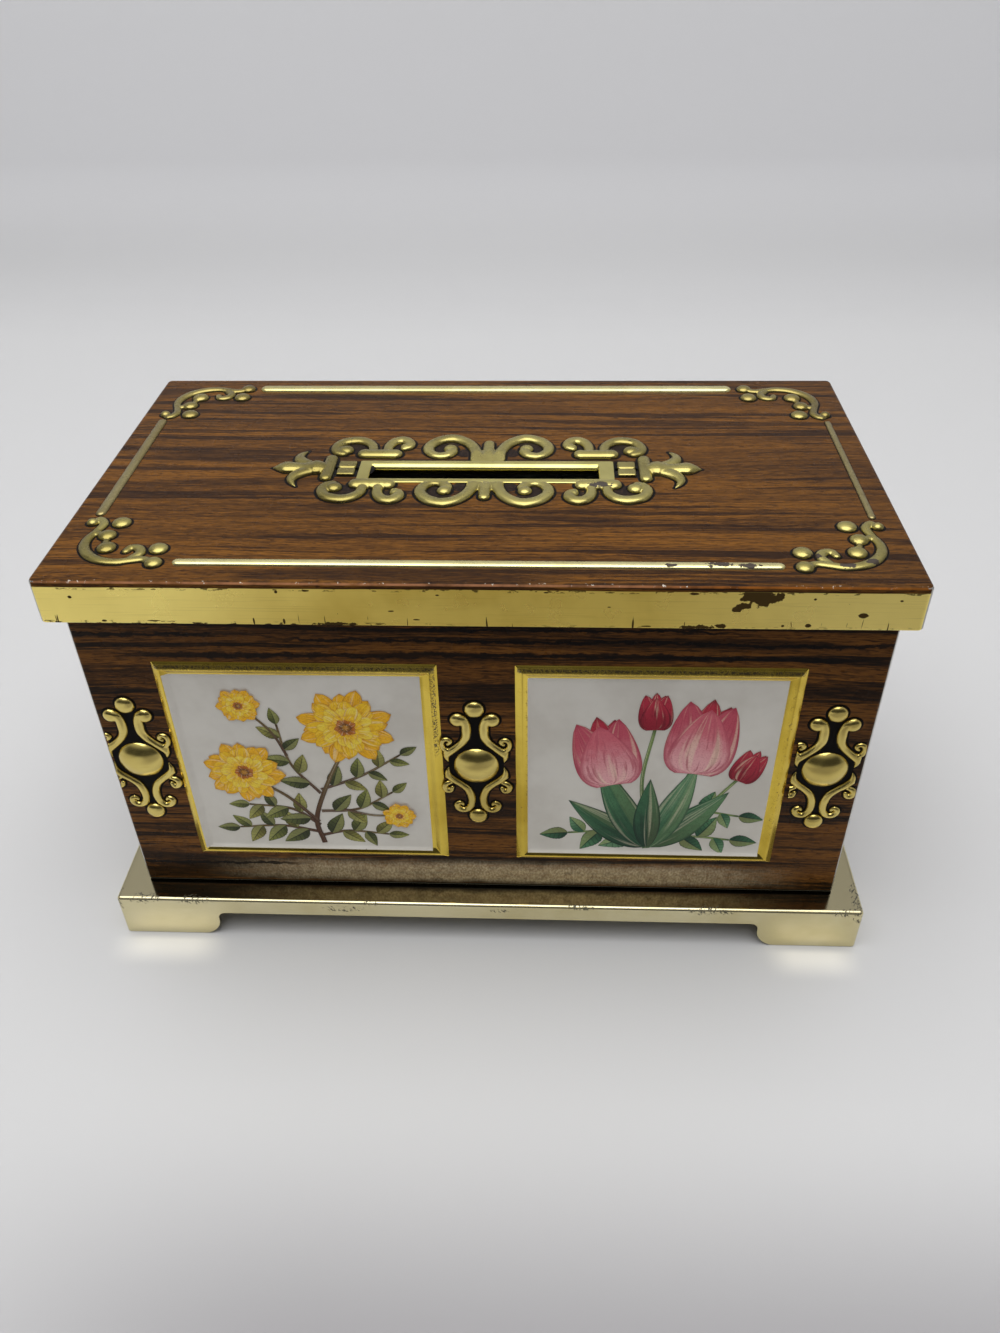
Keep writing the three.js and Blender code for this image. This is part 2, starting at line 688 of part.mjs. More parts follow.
function bodyWrap() {
  const seamDepth = SEAM_SHEETS * SHEET + ROOT_DEPTH;
  const seamFoot = PAN_TOP + RUN_GAP;
  const seamHeight = RIM_TOP - RIM_OUT - seamFoot;
  const seam = toSolid(new THREE.BoxGeometry(SEAM_WIDTH, seamDepth, seamHeight)).translate([
    0,
    BODY_BACK - SHEET + ROOT_DEPTH - seamDepth / 2,
    seamFoot + seamHeight / 2,
  ]);
  const parts = [moulding(BODY_OUTLINE, wallProfile()), seam];
  for (const side of [-1, 1]) {
    parts.push(onFront(frameRelief(), side * FRAME_PITCH, FRAME_MIDDLE));
  }
  // The outer curls stop where the sheet bends round the corner, and the inner ones at the frames.
  const flat = toSolid(new THREE.BoxGeometry(BODY_LENGTH - 2 * BODY_CORNER, BODY_DEPTH, BODY_HEIGHT));
  const crests = [-1, 0, 1].map((side) => onFront(crestRelief(), side * CREST_PITCH, CREST_MIDDLE));
  parts.push(joined(crests).intersect(flat.translate([0, BODY_FRONT, CREST_MIDDLE])));
  let body = joined(parts);
  for (const place of leafRivetPlaces()) {
    body = body.subtract(rivetHole(place.x, BODY_BACK - SHEET, BODY_BACK, HINGE_LINE_Z - BODY_RIVET_DROP));
  }
  return named("body_wrap", body, "woodPrint");
}

function bodyFloor() {
  const wallGap = -SHEET - SEAT_GAP;
  const fold = Math.max(FLANGE_FOLD, LEAST_CORNER);
  const foldInner = Math.max(fold - SHEET, LEAST_CORNER);
  const outer = stack(BODY_OUTLINE, [
    ...arc(wallGap - fold, PAN_UNDERSIDE + fold, fold, -90, 0, FOLD_STEPS),
    [wallGap, PAN_TOP],
  ]);
  const inner = stack(BODY_OUTLINE, [
    ...arc(wallGap - SHEET - foldInner, PAN_UNDERSIDE + SHEET + foldInner, foldInner, -90, 0, FOLD_STEPS),
    [wallGap - SHEET, PAN_TOP + CUT_OVERRUN],
  ]);
  let pan = outer.subtract(inner);
  for (const place of plinthRivetPlaces()) {
    pan = pan.subtract(plinthHole(place));
  }
  return named("body_floor", pan, "brightTin");
}

// Outline that is cut out of an apron between two feet: a toe curve and a throat curve at each end.
function apronGap(halfSpan, footFlat) {
  const edge = halfSpan - footFlat;
  const top = PLINTH_HEIGHT - APRON_HEIGHT;
  const toe = Math.min(FOOT_TOE, top / 2);
  const throat = Math.min(FOOT_THROAT, top / 2);
  const right = [new THREE.Vector2(edge, -CUT_OVERRUN), new THREE.Vector2(edge, 0)];
  for (let i = 1; i <= TOE_STEPS; i++) {
    const angle = (i / TOE_STEPS) * (Math.PI / 2);
    right.push(new THREE.Vector2(edge - toe * Math.sin(angle), toe - toe * Math.cos(angle)));
  }
  for (let i = 0; i <= FOLD_STEPS; i++) {
    const angle = (i / FOLD_STEPS) * (Math.PI / 2);
    const side = edge - toe - throat + throat * Math.cos(angle);
    right.push(new THREE.Vector2(side, top - throat + throat * Math.sin(angle)));
  }
  const left = right.map((point) => new THREE.Vector2(-point.x, point.y)).reverse();
  return new THREE.Shape([...right, ...left]);
}

// A gap's solid, run right through the plinth along Y, or along X when it is turned.
function apronCut(halfSpan, footFlat, halfReach, turned) {
  const depth = 2 * (halfReach + CUT_OVERRUN);
  const geometry = new THREE.ExtrudeGeometry(apronGap(halfSpan, footFlat), { depth, bevelEnabled: false });
  geometry.rotateX(Math.PI / 2);
  geometry.translate(0, depth / 2, 0);
  if (turned) {
    geometry.rotateZ(Math.PI / 2);
  }
  return toSolid(geometry);
}

function plinthTray() {
  const innerFold = Math.max(PLINTH_FOLD - SHEET, LEAST_CORNER);
  const outer = stack(PLINTH_OUTLINE, [
    [0, 0],
    ...arc(-PLINTH_FOLD, PLINTH_HEIGHT - PLINTH_FOLD, PLINTH_FOLD, 0, 90, FOLD_STEPS),
  ]);
  const underside = PLINTH_HEIGHT - SHEET;
  const inner = stack(PLINTH_OUTLINE, [
    [-FOOT_TURN, -CUT_OVERRUN],
    [-FOOT_TURN, SHEET],
    [-SHEET, SHEET],
    ...arc(-SHEET - innerFold, underside - innerFold, innerFold, 0, 90, FOLD_STEPS),
  ]);
  let tray = outer
    .subtract(inner)
    .subtract(apronCut(PLINTH_OUTLINE.halfX, FOOT_LENGTH, PLINTH_OUTLINE.halfY, false))
    .subtract(apronCut(PLINTH_OUTLINE.halfY, FOOT_DEPTH, PLINTH_OUTLINE.halfX, true));
  for (const place of plinthRivetPlaces()) {
    tray = tray.subtract(plinthHole(place));
  }
  return named("plinth_tray", tray, "paleGold");
}

// A round rod along Z from one height to the other.
function rod(radius, from, to, sides) {
  const geometry = new THREE.CylinderGeometry(radius, radius, to - from, sides);
  geometry.rotateX(Math.PI / 2);
  geometry.translate(0, 0, (from + to) / 2);
  return toSolid(geometry);
}

// A rivet along Z: its shank runs from one height to the other, with a head past each.
function rivet(from, to) {
  const profile = [
    [0, from - RIVET_HEAD_HEIGHT],
    [RIVET_HEAD_RADIUS * 0.6, from - RIVET_HEAD_HEIGHT],
    [RIVET_HEAD_RADIUS, from - RIVET_HEAD_HEIGHT * 0.3],
    [RIVET_HEAD_RADIUS, from],
    [RIVET_SHANK_RADIUS, from],
    [RIVET_SHANK_RADIUS, to],
    [RIVET_HEAD_RADIUS, to],
    [RIVET_HEAD_RADIUS, to + RIVET_HEAD_HEIGHT * 0.3],
    [RIVET_HEAD_RADIUS * 0.6, to + RIVET_HEAD_HEIGHT],
    [0, to + RIVET_HEAD_HEIGHT],
  ].map(([across, up]) => new THREE.Vector2(across, up));
  const geometry = new THREE.LatheGeometry(profile, ROUND_SIDES);
  geometry.rotateX(Math.PI / 2);
  return toSolid(geometry);
}

// A hole along Y for a rivet's shank, through what lies between the two places.
function rivetHole(x, fromY, toY, z) {
  return rod(RIVET_SHANK_RADIUS + RIVET_HOLE_GAP, fromY - CUT_OVERRUN, toY + CUT_OVERRUN, ROUND_SIDES)
    .rotate([-90, 0, 0])
    .translate([x, 0, z]);
}

// Middles of the four rivets through a row of leaves.
function leafRivetPlaces() {
  const places = [];
  for (const [side, sign] of [
    ["left", -1],
    ["right", 1],
  ]) {
    for (const [end, endSign] of [
      ["outer", 1],
      ["inner", -1],
    ]) {
      places.push({ side, end, x: sign * (HINGE_OFFSET + endSign * LEAF_RIVET_OFFSET) });
    }
  }
  return places;
}

function plinthRivetPlaces() {
  const x = BODY_LENGTH / 2 - PLINTH_RIVET_INSET;
  const y = BODY_DEPTH / 2 - PLINTH_RIVET_INSET;
  return [
    { name: "front_left", x: -x, y: -y },
    { name: "front_right", x, y: -y },
    { name: "back_left", x: -x, y },
    { name: "back_right", x, y },
  ];
}

function plinthHole(place) {
  const radius = RIVET_SHANK_RADIUS + RIVET_HOLE_GAP;
  const top = BODY_FOOT + 2 * SHEET + SEAT_GAP + CUT_OVERRUN;
  return rod(radius, PLINTH_HEIGHT - SHEET - CUT_OVERRUN, top, ROUND_SIDES).translate([place.x, place.y, 0]);
}

function plinthRivets() {
  const from = PLINTH_HEIGHT - SHEET - SEAT_GAP;
  const to = BODY_FOOT + 2 * SHEET + 2 * SEAT_GAP;
  return plinthRivetPlaces().map((place) =>
    named("plinth_rivet_" + place.name, rivet(from, to).translate([place.x, place.y, 0]), "brightTin"),
  );
}

// Knuckles of a leaf along X, as tubes that stand on the leaf's plate.
function leafBody(plateY, plateFrom, plateTo, spans) {
  const height = plateTo - plateFrom;
  const plate = toSolid(new THREE.BoxGeometry(LEAF_WIDTH, LEAF_SHEET, height)).translate([
    0,
    plateY,
    (plateFrom + plateTo) / 2,
  ]);
  let leaf = plate;
  for (const [from, to] of spans) {
    const tube = rod(KNUCKLE_RADIUS, from, to, ROUND_SIDES).rotate([0, 90, 0]);
    leaf = leaf.add(tube.translate([0, HINGE_LINE_Y, HINGE_LINE_Z]));
  }
  return leaf;
}

// Space that a knuckle of the other leaf turns in.
function knuckleSpace(from, to) {
  return rod(KNUCKLE_RADIUS + RUN_GAP, from - KNUCKLE_GAP, to + KNUCKLE_GAP, ROUND_SIDES)
    .rotate([0, 90, 0])
    .translate([0, HINGE_LINE_Y, HINGE_LINE_Z]);
}

function pinBore() {
  const half = LEAF_WIDTH / 2 + CUT_OVERRUN;
  return rod(KNUCKLE_BORE, -half, half, ROUND_SIDES)
    .rotate([0, 90, 0])
    .translate([0, HINGE_LINE_Y, HINGE_LINE_Z]);
}

// One hinge: a leaf on the lid's skirt with two knuckles, a leaf on the back wall with one, and a pin.
function hinge(side, sign) {
  const half = LEAF_WIDTH / 2;
  const middle = MIDDLE_KNUCKLE / 2;
  const x = sign * HINGE_OFFSET;
  const lidPlateY = HINGE_LINE_Y + KNUCKLE_RADIUS - LEAF_SHEET / 2;
  const bodyPlateY = HINGE_LINE_Y - KNUCKLE_RADIUS + LEAF_SHEET / 2;
  const lidSpans = [
    [-half, -middle - KNUCKLE_GAP],
    [middle + KNUCKLE_GAP, half],
  ];
  let lidLeaf = leafBody(lidPlateY, HINGE_LINE_Z, HINGE_LINE_Z + LID_LEAF_HEIGHT, lidSpans)
    .subtract(knuckleSpace(-middle, middle))
    .subtract(pinBore())
    .translate([x, 0, 0]);
  let bodyLeaf = leafBody(bodyPlateY, HINGE_LINE_Z - BODY_LEAF_HEIGHT, HINGE_LINE_Z, [[-middle, middle]])
    .subtract(knuckleSpace(-half, -middle - KNUCKLE_GAP))
    .subtract(knuckleSpace(middle + KNUCKLE_GAP, half))
    .subtract(pinBore())
    .translate([x, 0, 0]);
  for (const place of leafRivetPlaces().filter((one) => one.side === side)) {
    lidLeaf = lidLeaf.subtract(rivetHole(place.x, HINGE_LINE_Y, LID_HALF_DEPTH, HINGE_LINE_Z + LID_RIVET_RISE));
    bodyLeaf = bodyLeaf.subtract(rivetHole(place.x, BODY_BACK, HINGE_LINE_Y, HINGE_LINE_Z - BODY_RIVET_DROP));
  }
  const pin = rod(PIN_RADIUS, -half - PIN_END, half + PIN_END, ROUND_SIDES)
    .rotate([0, 90, 0])
    .translate([x, HINGE_LINE_Y, HINGE_LINE_Z]);
  return [
    named("hinge_" + side + "_lid_leaf", lidLeaf, "brassLacquer"),
    named("hinge_" + side + "_body_leaf", bodyLeaf, "brassLacquer"),
    named("hinge_" + side + "_pin", pin, "steel"),
  ];
}

// Rivets through the lid leaves and the skirt, and through the body leaves and the back wall.
function hingeRivets() {
  const rivets = [];
  const lidFrom = HINGE_LINE_Y + KNUCKLE_RADIUS - LEAF_SHEET - SEAT_GAP;
  const lidTo = LID_HALF_DEPTH + SEAT_GAP;
  const bodyFrom = BODY_BACK - SHEET - SEAT_GAP;
  const bodyTo = HINGE_LINE_Y - KNUCKLE_RADIUS + LEAF_SHEET + SEAT_GAP;
  for (const place of leafRivetPlaces()) {
    const lidRivet = rivet(-lidTo, -lidFrom).rotate([90, 0, 0]);
    const bodyRivet = rivet(-bodyTo, -bodyFrom).rotate([90, 0, 0]);
    const label = place.side + "_" + place.end;
    rivets.push(
      named(
        "lid_rivet_" + label,
        lidRivet.translate([place.x, 0, HINGE_LINE_Z + LID_RIVET_RISE]),
        "brightTin",
      ),
      named(
        "body_rivet_" + label,
        bodyRivet.translate([place.x, 0, HINGE_LINE_Z - BODY_RIVET_DROP]),
        "brightTin",
      ),
    );
  }
  return rivets;
}

const casket = new THREE.Group();
casket.add(lidShell(), bodyWrap(), bodyFloor(), plinthTray());
casket.add(...hinge("left", -1), ...hinge("right", 1));
casket.add(...hingeRivets(), ...plinthRivets());

export default casket;
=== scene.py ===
"""Looks of a coin casket of printed tinplate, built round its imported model.

The lid, the body and the plinth are remodelled as thin sheets with soft folds, and the gold relief, the picture
frames and the flower prints are pieces of their own. Floor pan, hinges and rivets keep their solids and get
finishes. Everything is in metres, in the model's own frame: +Z up and the front towards -Y.
"""

import logging
import math
from collections.abc import Iterator
from contextlib import contextmanager
from dataclasses import dataclass, field
from enum import Enum
from functools import cache

import bmesh
import bpy
from mathutils import Euler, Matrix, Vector


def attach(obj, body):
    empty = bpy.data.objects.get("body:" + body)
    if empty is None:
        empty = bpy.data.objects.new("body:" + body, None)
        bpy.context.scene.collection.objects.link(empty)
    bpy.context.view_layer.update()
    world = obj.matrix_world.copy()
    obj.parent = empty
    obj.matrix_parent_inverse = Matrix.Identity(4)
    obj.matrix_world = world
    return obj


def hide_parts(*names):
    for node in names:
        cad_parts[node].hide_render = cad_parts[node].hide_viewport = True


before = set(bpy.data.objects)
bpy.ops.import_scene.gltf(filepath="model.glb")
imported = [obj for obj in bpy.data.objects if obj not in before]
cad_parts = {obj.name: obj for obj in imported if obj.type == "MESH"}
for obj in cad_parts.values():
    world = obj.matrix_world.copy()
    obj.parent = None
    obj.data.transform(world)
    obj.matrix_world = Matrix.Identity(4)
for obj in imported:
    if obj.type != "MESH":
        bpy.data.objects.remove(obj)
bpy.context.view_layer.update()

Piece = bpy.types.Object
Socket = bpy.types.NodeSocket
Tree = bpy.types.NodeTree
LOG = logging.getLogger("casket")
MM = 0.001


# Levels and places shared by the sub-assemblies, in millimetres
@dataclass(frozen=True)
class Layout:
    """Main sizes of the casket in millimetres, the same as those of the solids."""

    sheet: float = 0.35
    body_half_x: float = 72.85
    body_half_y: float = 37.95
    body_corner: float = 0.9
    body_foot: float = 11.1
    rim_top: float = 89.8
    lid_half_x: float = 75.0
    lid_half_y: float = 41.95
    lid_corner: float = 1.2
    lid_top: float = 90.45
    lid_fold: float = 0.8
    skirt_foot: float = 81.75
    hem_height: float = 6.2
    plinth_half_x: float = 78.45
    plinth_half_y: float = 43.25
    plinth_corner: float = 0.9
    plinth_height: float = 11.0
    crown_x: float = 0.3
    crown_y: float = -1.8
    plate_x: float = 0.1
    plate_y: float = -2.8
    slot_x: float = -0.2
    slot_y: float = -3.05
    slot_half_x: float = 22.1
    slot_half_y: float = 2.45


LAYOUT = Layout()


# Modelling helpers
def clear_selection() -> None:
    """Leaves edit mode and deselects every object."""
    if bpy.context.object is not None and bpy.context.object.mode != "OBJECT":
        bpy.ops.object.mode_set(mode="OBJECT")
    bpy.ops.object.select_all(action="DESELECT")


def make_active(piece: Piece) -> None:
    """Selects one object alone and makes it the active one."""
    clear_selection()
    piece.select_set(True)
    bpy.context.view_layer.objects.active = piece


@contextmanager
def whole_mesh(piece: Piece) -> Iterator[None]:
    """Edits one object with all of its mesh selected."""
    make_active(piece)
    bpy.ops.object.mode_set(mode="EDIT")
    bpy.ops.mesh.select_all(action="SELECT")
    yield
    bpy.ops.object.mode_set(mode="OBJECT")


def added(operator, **settings) -> Piece:
    """Adds an object with one of the operators for primitives.

    Args:
        operator: The operator.
        **settings: What it is called with.

    Returns:
        The new object.
    """
    clear_selection()
    operator(**settings)
    return bpy.context.object


def settle(piece: Piece) -> Piece:
    """Puts a piece's place, turn and size into its mesh.

    Args:
        piece: The object to settle.

    Returns:
        The same object, at the origin.
    """
    make_active(piece)
    bpy.ops.object.transform_apply(location=True, rotation=True, scale=True)
    return piece


def joined(pieces: list[Piece], name: str) -> Piece:
    """Joins several mesh objects into one.

    Args:
        pieces: The objects, the first of which is kept.
        name: Name of the joined object.

    Returns:
        The joined object.
    """
    clear_selection()
    for piece in pieces:
        piece.select_set(True)
    bpy.context.view_layer.objects.active = pieces[0]
    if len(pieces) > 1:
        bpy.ops.object.join()
    made = bpy.context.object
    made.name = name
    made.data.name = name
    return made


def duplicated(piece: Piece) -> Piece:
    """Copies an object with a mesh of its own."""
    make_active(piece)
    bpy.ops.object.duplicate(linked=False)
    return bpy.context.object


def apply_modifiers(piece: Piece) -> Piece:
    """Applies all of a piece's modifiers in their order."""
    make_active(piece)
    for modifier in list(piece.modifiers):
        bpy.ops.object.modifier_apply(modifier=modifier.name)
    return piece


def mirrored(piece: Piece, across_x: bool, across_y: bool) -> Piece:
    """Mirrors a piece about the planes through its own origin and keeps both sides.

    Args:
        piece: The object, with its origin where the planes meet.
        across_x: Whether it is mirrored in x.
        across_y: Whether it is mirrored in y.

    Returns:
        The same object with the mirrored sides in its mesh.
    """
    modifier = piece.modifiers.new("mirror", "MIRROR")
    modifier.use_axis = (across_x, across_y, False)
    modifier.use_mirror_merge = False
    return apply_modifiers(piece)


def stood_up(piece: Piece, x: float, z: float) -> Piece:
    """Stands a flat piece up on the body's front.

    Args:
        piece: The object, drawn on the plane z = 0.
        x: Place of its middle, in millimetres.
        z: Height of its middle, in millimetres.

    Returns:
        The same object, settled.
    """
    piece.rotation_euler = (math.radians(90), 0, 0)
    piece.location = (x * MM, -LAYOUT.body_half_y * MM, z * MM)
    return settle(piece)


def smoothed(piece: Piece, degrees: float = 40.0) -> Piece:
    """Shades a piece smooth, with its sharper edges kept and its large faces flat.

    Args:
        piece: The object to shade.
        degrees: Edges that turn by more than this stay sharp.

    Returns:
        The same object.
    """
    make_active(piece)
    bpy.ops.object.shade_smooth_by_angle(angle=math.radians(degrees))
    modifier = piece.modifiers.new("flat_faces", "WEIGHTED_NORMAL")
    modifier.weight = 80
    modifier.keep_sharp = True
    return apply_modifiers(piece)


@dataclass(frozen=True)
class Ring:
    """One level of a sheet: a rectangle with rounded corners, in millimetres."""

    half_x: float
    half_y: float
    radius: float
    height: float
    shift_x: float = 0.0
    shift_y: float = 0.0

    def points(self, steps: int) -> list[Vector]:
        """Gives the ring's points, anticlockwise from above.

        Args:
            steps: Steps in each corner.

        Returns:
            The points in metres.
        """
        radius = min(self.radius, self.half_x, self.half_y)
        found = []
        for corner in range(4):
            sign_x = 1 if corner in (0, 3) else -1
            sign_y = 1 if corner < 2 else -1
            for step in range(steps + 1):
                angle = (corner + step / steps) * math.pi / 2
                x = sign_x * (self.half_x - radius) + radius * math.cos(angle) + self.shift_x
                y = sign_y * (self.half_y - radius) + radius * math.sin(angle) + self.shift_y
                found.append(Vector((x, y, self.height)) * MM)
        return found


def arc_rows(out: float, height: float, radius: float, start: float, end: float, steps: int) -> list[tuple]:
    """Points of an arc in a sheet's profile.

    Args:
        out: Where its middle lies outwards.
        height: Where its middle lies in height.
        radius: Its radius.
        start: First angle in degrees.
        end: Last angle in degrees.
        steps: Number of steps.

    Returns:
        Pairs of outward distance and height.
    """
    rows = []
    for i in range(steps + 1):
        angle = math.radians(start + (end - start) * i / steps)
        rows.append((out + radius * math.cos(angle), height + radius * math.sin(angle)))
    return rows


def rings_of(outline: tuple, rows: list[tuple]) -> list[Ring]:
    """Levels of a sheet: its outline, pushed outwards by each row's distance, at each row's height."""
    half_x, half_y, corner = outline
    return [Ring(half_x + out, half_y + out, max(corner + out, 0.15), height) for out, height in rows]


class Ends(Enum):
    """What is done with the first and the last ring of a drawn sheet."""

    CAPPED = "capped"
    CLOSED_ROUND = "closed round"
    CAP_LAST = "cap last"


def draw_rings(name: str, rings: list[Ring], ends: Ends, steps: int = 6) -> Piece:
    """Draws a folded sheet: an edge ring is extruded level by level.

    Args:
        name: Name of the new object.
        rings: The levels in order.
        ends: What is done with the first and last ring.
        steps: Steps in each corner.

    Returns:
        The new object, with its faces outwards.
    """
    piece = added(bpy.ops.mesh.primitive_circle_add, vertices=4 * (steps + 1), radius=MM, fill_type="NOTHING")
    piece.name = name
    piece.data.name = name
    order = piece.data.attributes.new("order", "INT", "POINT")
    for vert, point in zip(piece.data.vertices, rings[0].points(steps)):
        vert.co = point
        order.data[vert.index].value = vert.index
    with whole_mesh(piece):
        for ring in rings[1:]:
            bpy.ops.mesh.extrude_edges_move()
            mesh = bmesh.from_edit_mesh(piece.data)
            order = mesh.verts.layers.int["order"]
            points = ring.points(steps)
            for vert in mesh.verts:
                if vert.select:
                    vert.co = points[vert[order]]
            bmesh.update_edit_mesh(piece.data)
        close_rings(piece, ends)
        bpy.ops.mesh.select_all(action="SELECT")
        bpy.ops.mesh.normals_make_consistent(inside=False)
    piece.data.attributes.remove(piece.data.attributes["order"])
    return piece


def close_rings(piece: Piece, ends: Ends) -> None:
    """Closes a drawn sheet in edit mode.

    Args:
        piece: The object, in edit mode with its last ring selected.
        ends: What is done with the first and last ring.
    """
    if ends is not Ends.CLOSED_ROUND:
        bpy.ops.mesh.edge_face_add()
    if ends is Ends.CAP_LAST:
        return
    if ends is Ends.CAPPED:
        bpy.ops.mesh.select_all(action="DESELECT")
    mesh = bmesh.from_edit_mesh(piece.data)
    for edge in mesh.edges:
        if edge.is_boundary:
            edge.select_set(True)
    bmesh.update_edit_mesh(piece.data)
    if ends is Ends.CAPPED:
        bpy.ops.mesh.edge_face_add()
    else:
        bpy.ops.mesh.bridge_edge_loops()


def folded(name: str, outline: tuple, outer: list[tuple], inner: list[tuple]) -> Piece:
    """Folds a sheet that is closed at the top and open below.

    Args:
        name: Name of the new object.
        outline: Half its length, half its depth and the radius of its corners.
        outer: Rows of its outer skin, each an outward distance and a height.
        inner: Rows of its inner skin, which starts where the outer one does.

    Returns:
        The new object, with its faces outwards.
    """
    sheet = joined([draw_rings(name, rings_of(outline, rows), Ends.CAP_LAST) for rows in (outer, inner)], name)
    with whole_mesh(sheet):
        bpy.ops.mesh.remove_doubles(threshold=0.00001)
        bpy.ops.mesh.normals_make_consistent(inside=False)
    return sheet


def cut_with(piece: Piece, cutter: Piece) -> Piece:
    """Cuts one closed object out of another and removes the cutter."""
    modifier = piece.modifiers.new("cut", "BOOLEAN")
    modifier.operation = "DIFFERENCE"
    modifier.solver = "EXACT"
    modifier.object = cutter
    apply_modifiers(piece)
    bpy.data.objects.remove(cutter, do_unlink=True)
    return piece


def add_block(low: tuple, high: tuple, bevel: float, segments: int = 3) -> Piece:
    """Adds a block with rounded edges between two corners.

    Args:
        low: Lowest corner in millimetres.
        high: Highest corner in millimetres.
        bevel: Radius of its edges in millimetres, or 0.
        segments: Segments of each rounded edge.

    Returns:
        The new object, settled.
    """
    middle = [(a + b) / 2 * MM for a, b in zip(low, high)]
    size = [(b - a) * MM for a, b in zip(low, high)]
    piece = settle(added(bpy.ops.mesh.primitive_cube_add, size=1, location=middle, scale=size))
    if bevel > 0:
        with whole_mesh(piece):
            bpy.ops.mesh.bevel(offset=bevel * MM, segments=segments, affect="EDGES")
    return piece


def fused(piece: Piece, voxel: float, rounds: int, kept: float) -> Piece:
    """Fuses overlapping strokes into one skin with soft joints, as in pressed sheet.

    Args:
        piece: The joined strokes.
        voxel: Size of the new faces in millimetres.
        rounds: How often the skin is softened.
        kept: Share of the faces that is kept, fewer where the skin is flat.

    Returns:
        The same object with its new skin.
    """
    modifier = piece.modifiers.new("fuse", "REMESH")
    modifier.mode = "VOXEL"
    modifier.voxel_size = voxel * MM
    soft = piece.modifiers.new("soften", "SMOOTH")
    soft.factor = 0.5
    soft.iterations = rounds
    fewer = piece.modifiers.new("fewer", "DECIMATE")
    fewer.ratio = kept
    return apply_modifiers(piece)


# Relief helpers: strokes and domes that stand on the plane z = 0, in millimetres
def spread_places(places: list[tuple], count: int) -> list[Vector]:
    """Leads a smooth line through places of x, y and half width.

    Args:
        places: The places, in millimetres.
        count: Number of points on the line.

    Returns:
        Evenly spaced points with x, y and half width.
    """
    knots = [Vector(place) for place in places]
    padded = [2 * knots[0] - knots[1], *knots, 2 * knots[-1] - knots[-2]]
    dense = []
    for i in range(1, len(padded) - 2):
        for j in range(12):
            t = j / 12
            a, b, c, d = padded[i - 1 : i + 3]
            pull = 2 * b + (c - a) * t + (2 * a - 5 * b + 4 * c - d) * t * t + (3 * b - a - 3 * c + d) * t**3
            dense.append(0.5 * pull)
    dense.append(knots[-1])
    lengths = [0.0]
    for a, b in zip(dense, dense[1:]):
        lengths.append(lengths[-1] + (b - a).xy.length)
    found = []
    at = 0
    for k in range(count):
        wanted = lengths[-1] * k / (count - 1)
        while at < len(dense) - 2 and lengths[at + 1] < wanted:
            at += 1
        step = max(lengths[at + 1] - lengths[at], 1e-9)
        found.append(dense[at].lerp(dense[at + 1], min(1.0, (wanted - lengths[at]) / step)))
    return found


def round_off(points: list[Vector]) -> list[Vector]:
    """Adds a half-round end before the first and after the last point of a line."""
    front = []
    back = []
    head, tail = points[0], points[-1]
    out_head = (head - points[1]).xy.normalized()
    out_tail = (tail - points[-2]).xy.normalized()
    for degrees in (84, 66, 44, 22):
        reach = math.sin(math.radians(degrees))
        narrow = math.cos(math.radians(degrees))
        spot = head.xy + out_head * head.z * reach
        front.append(Vector((spot.x, spot.y, head.z * narrow)))
        spot = tail.xy + out_tail * tail.z * reach
        back.insert(0, Vector((spot.x, spot.y, tail.z * narrow)))
    return front + points + back


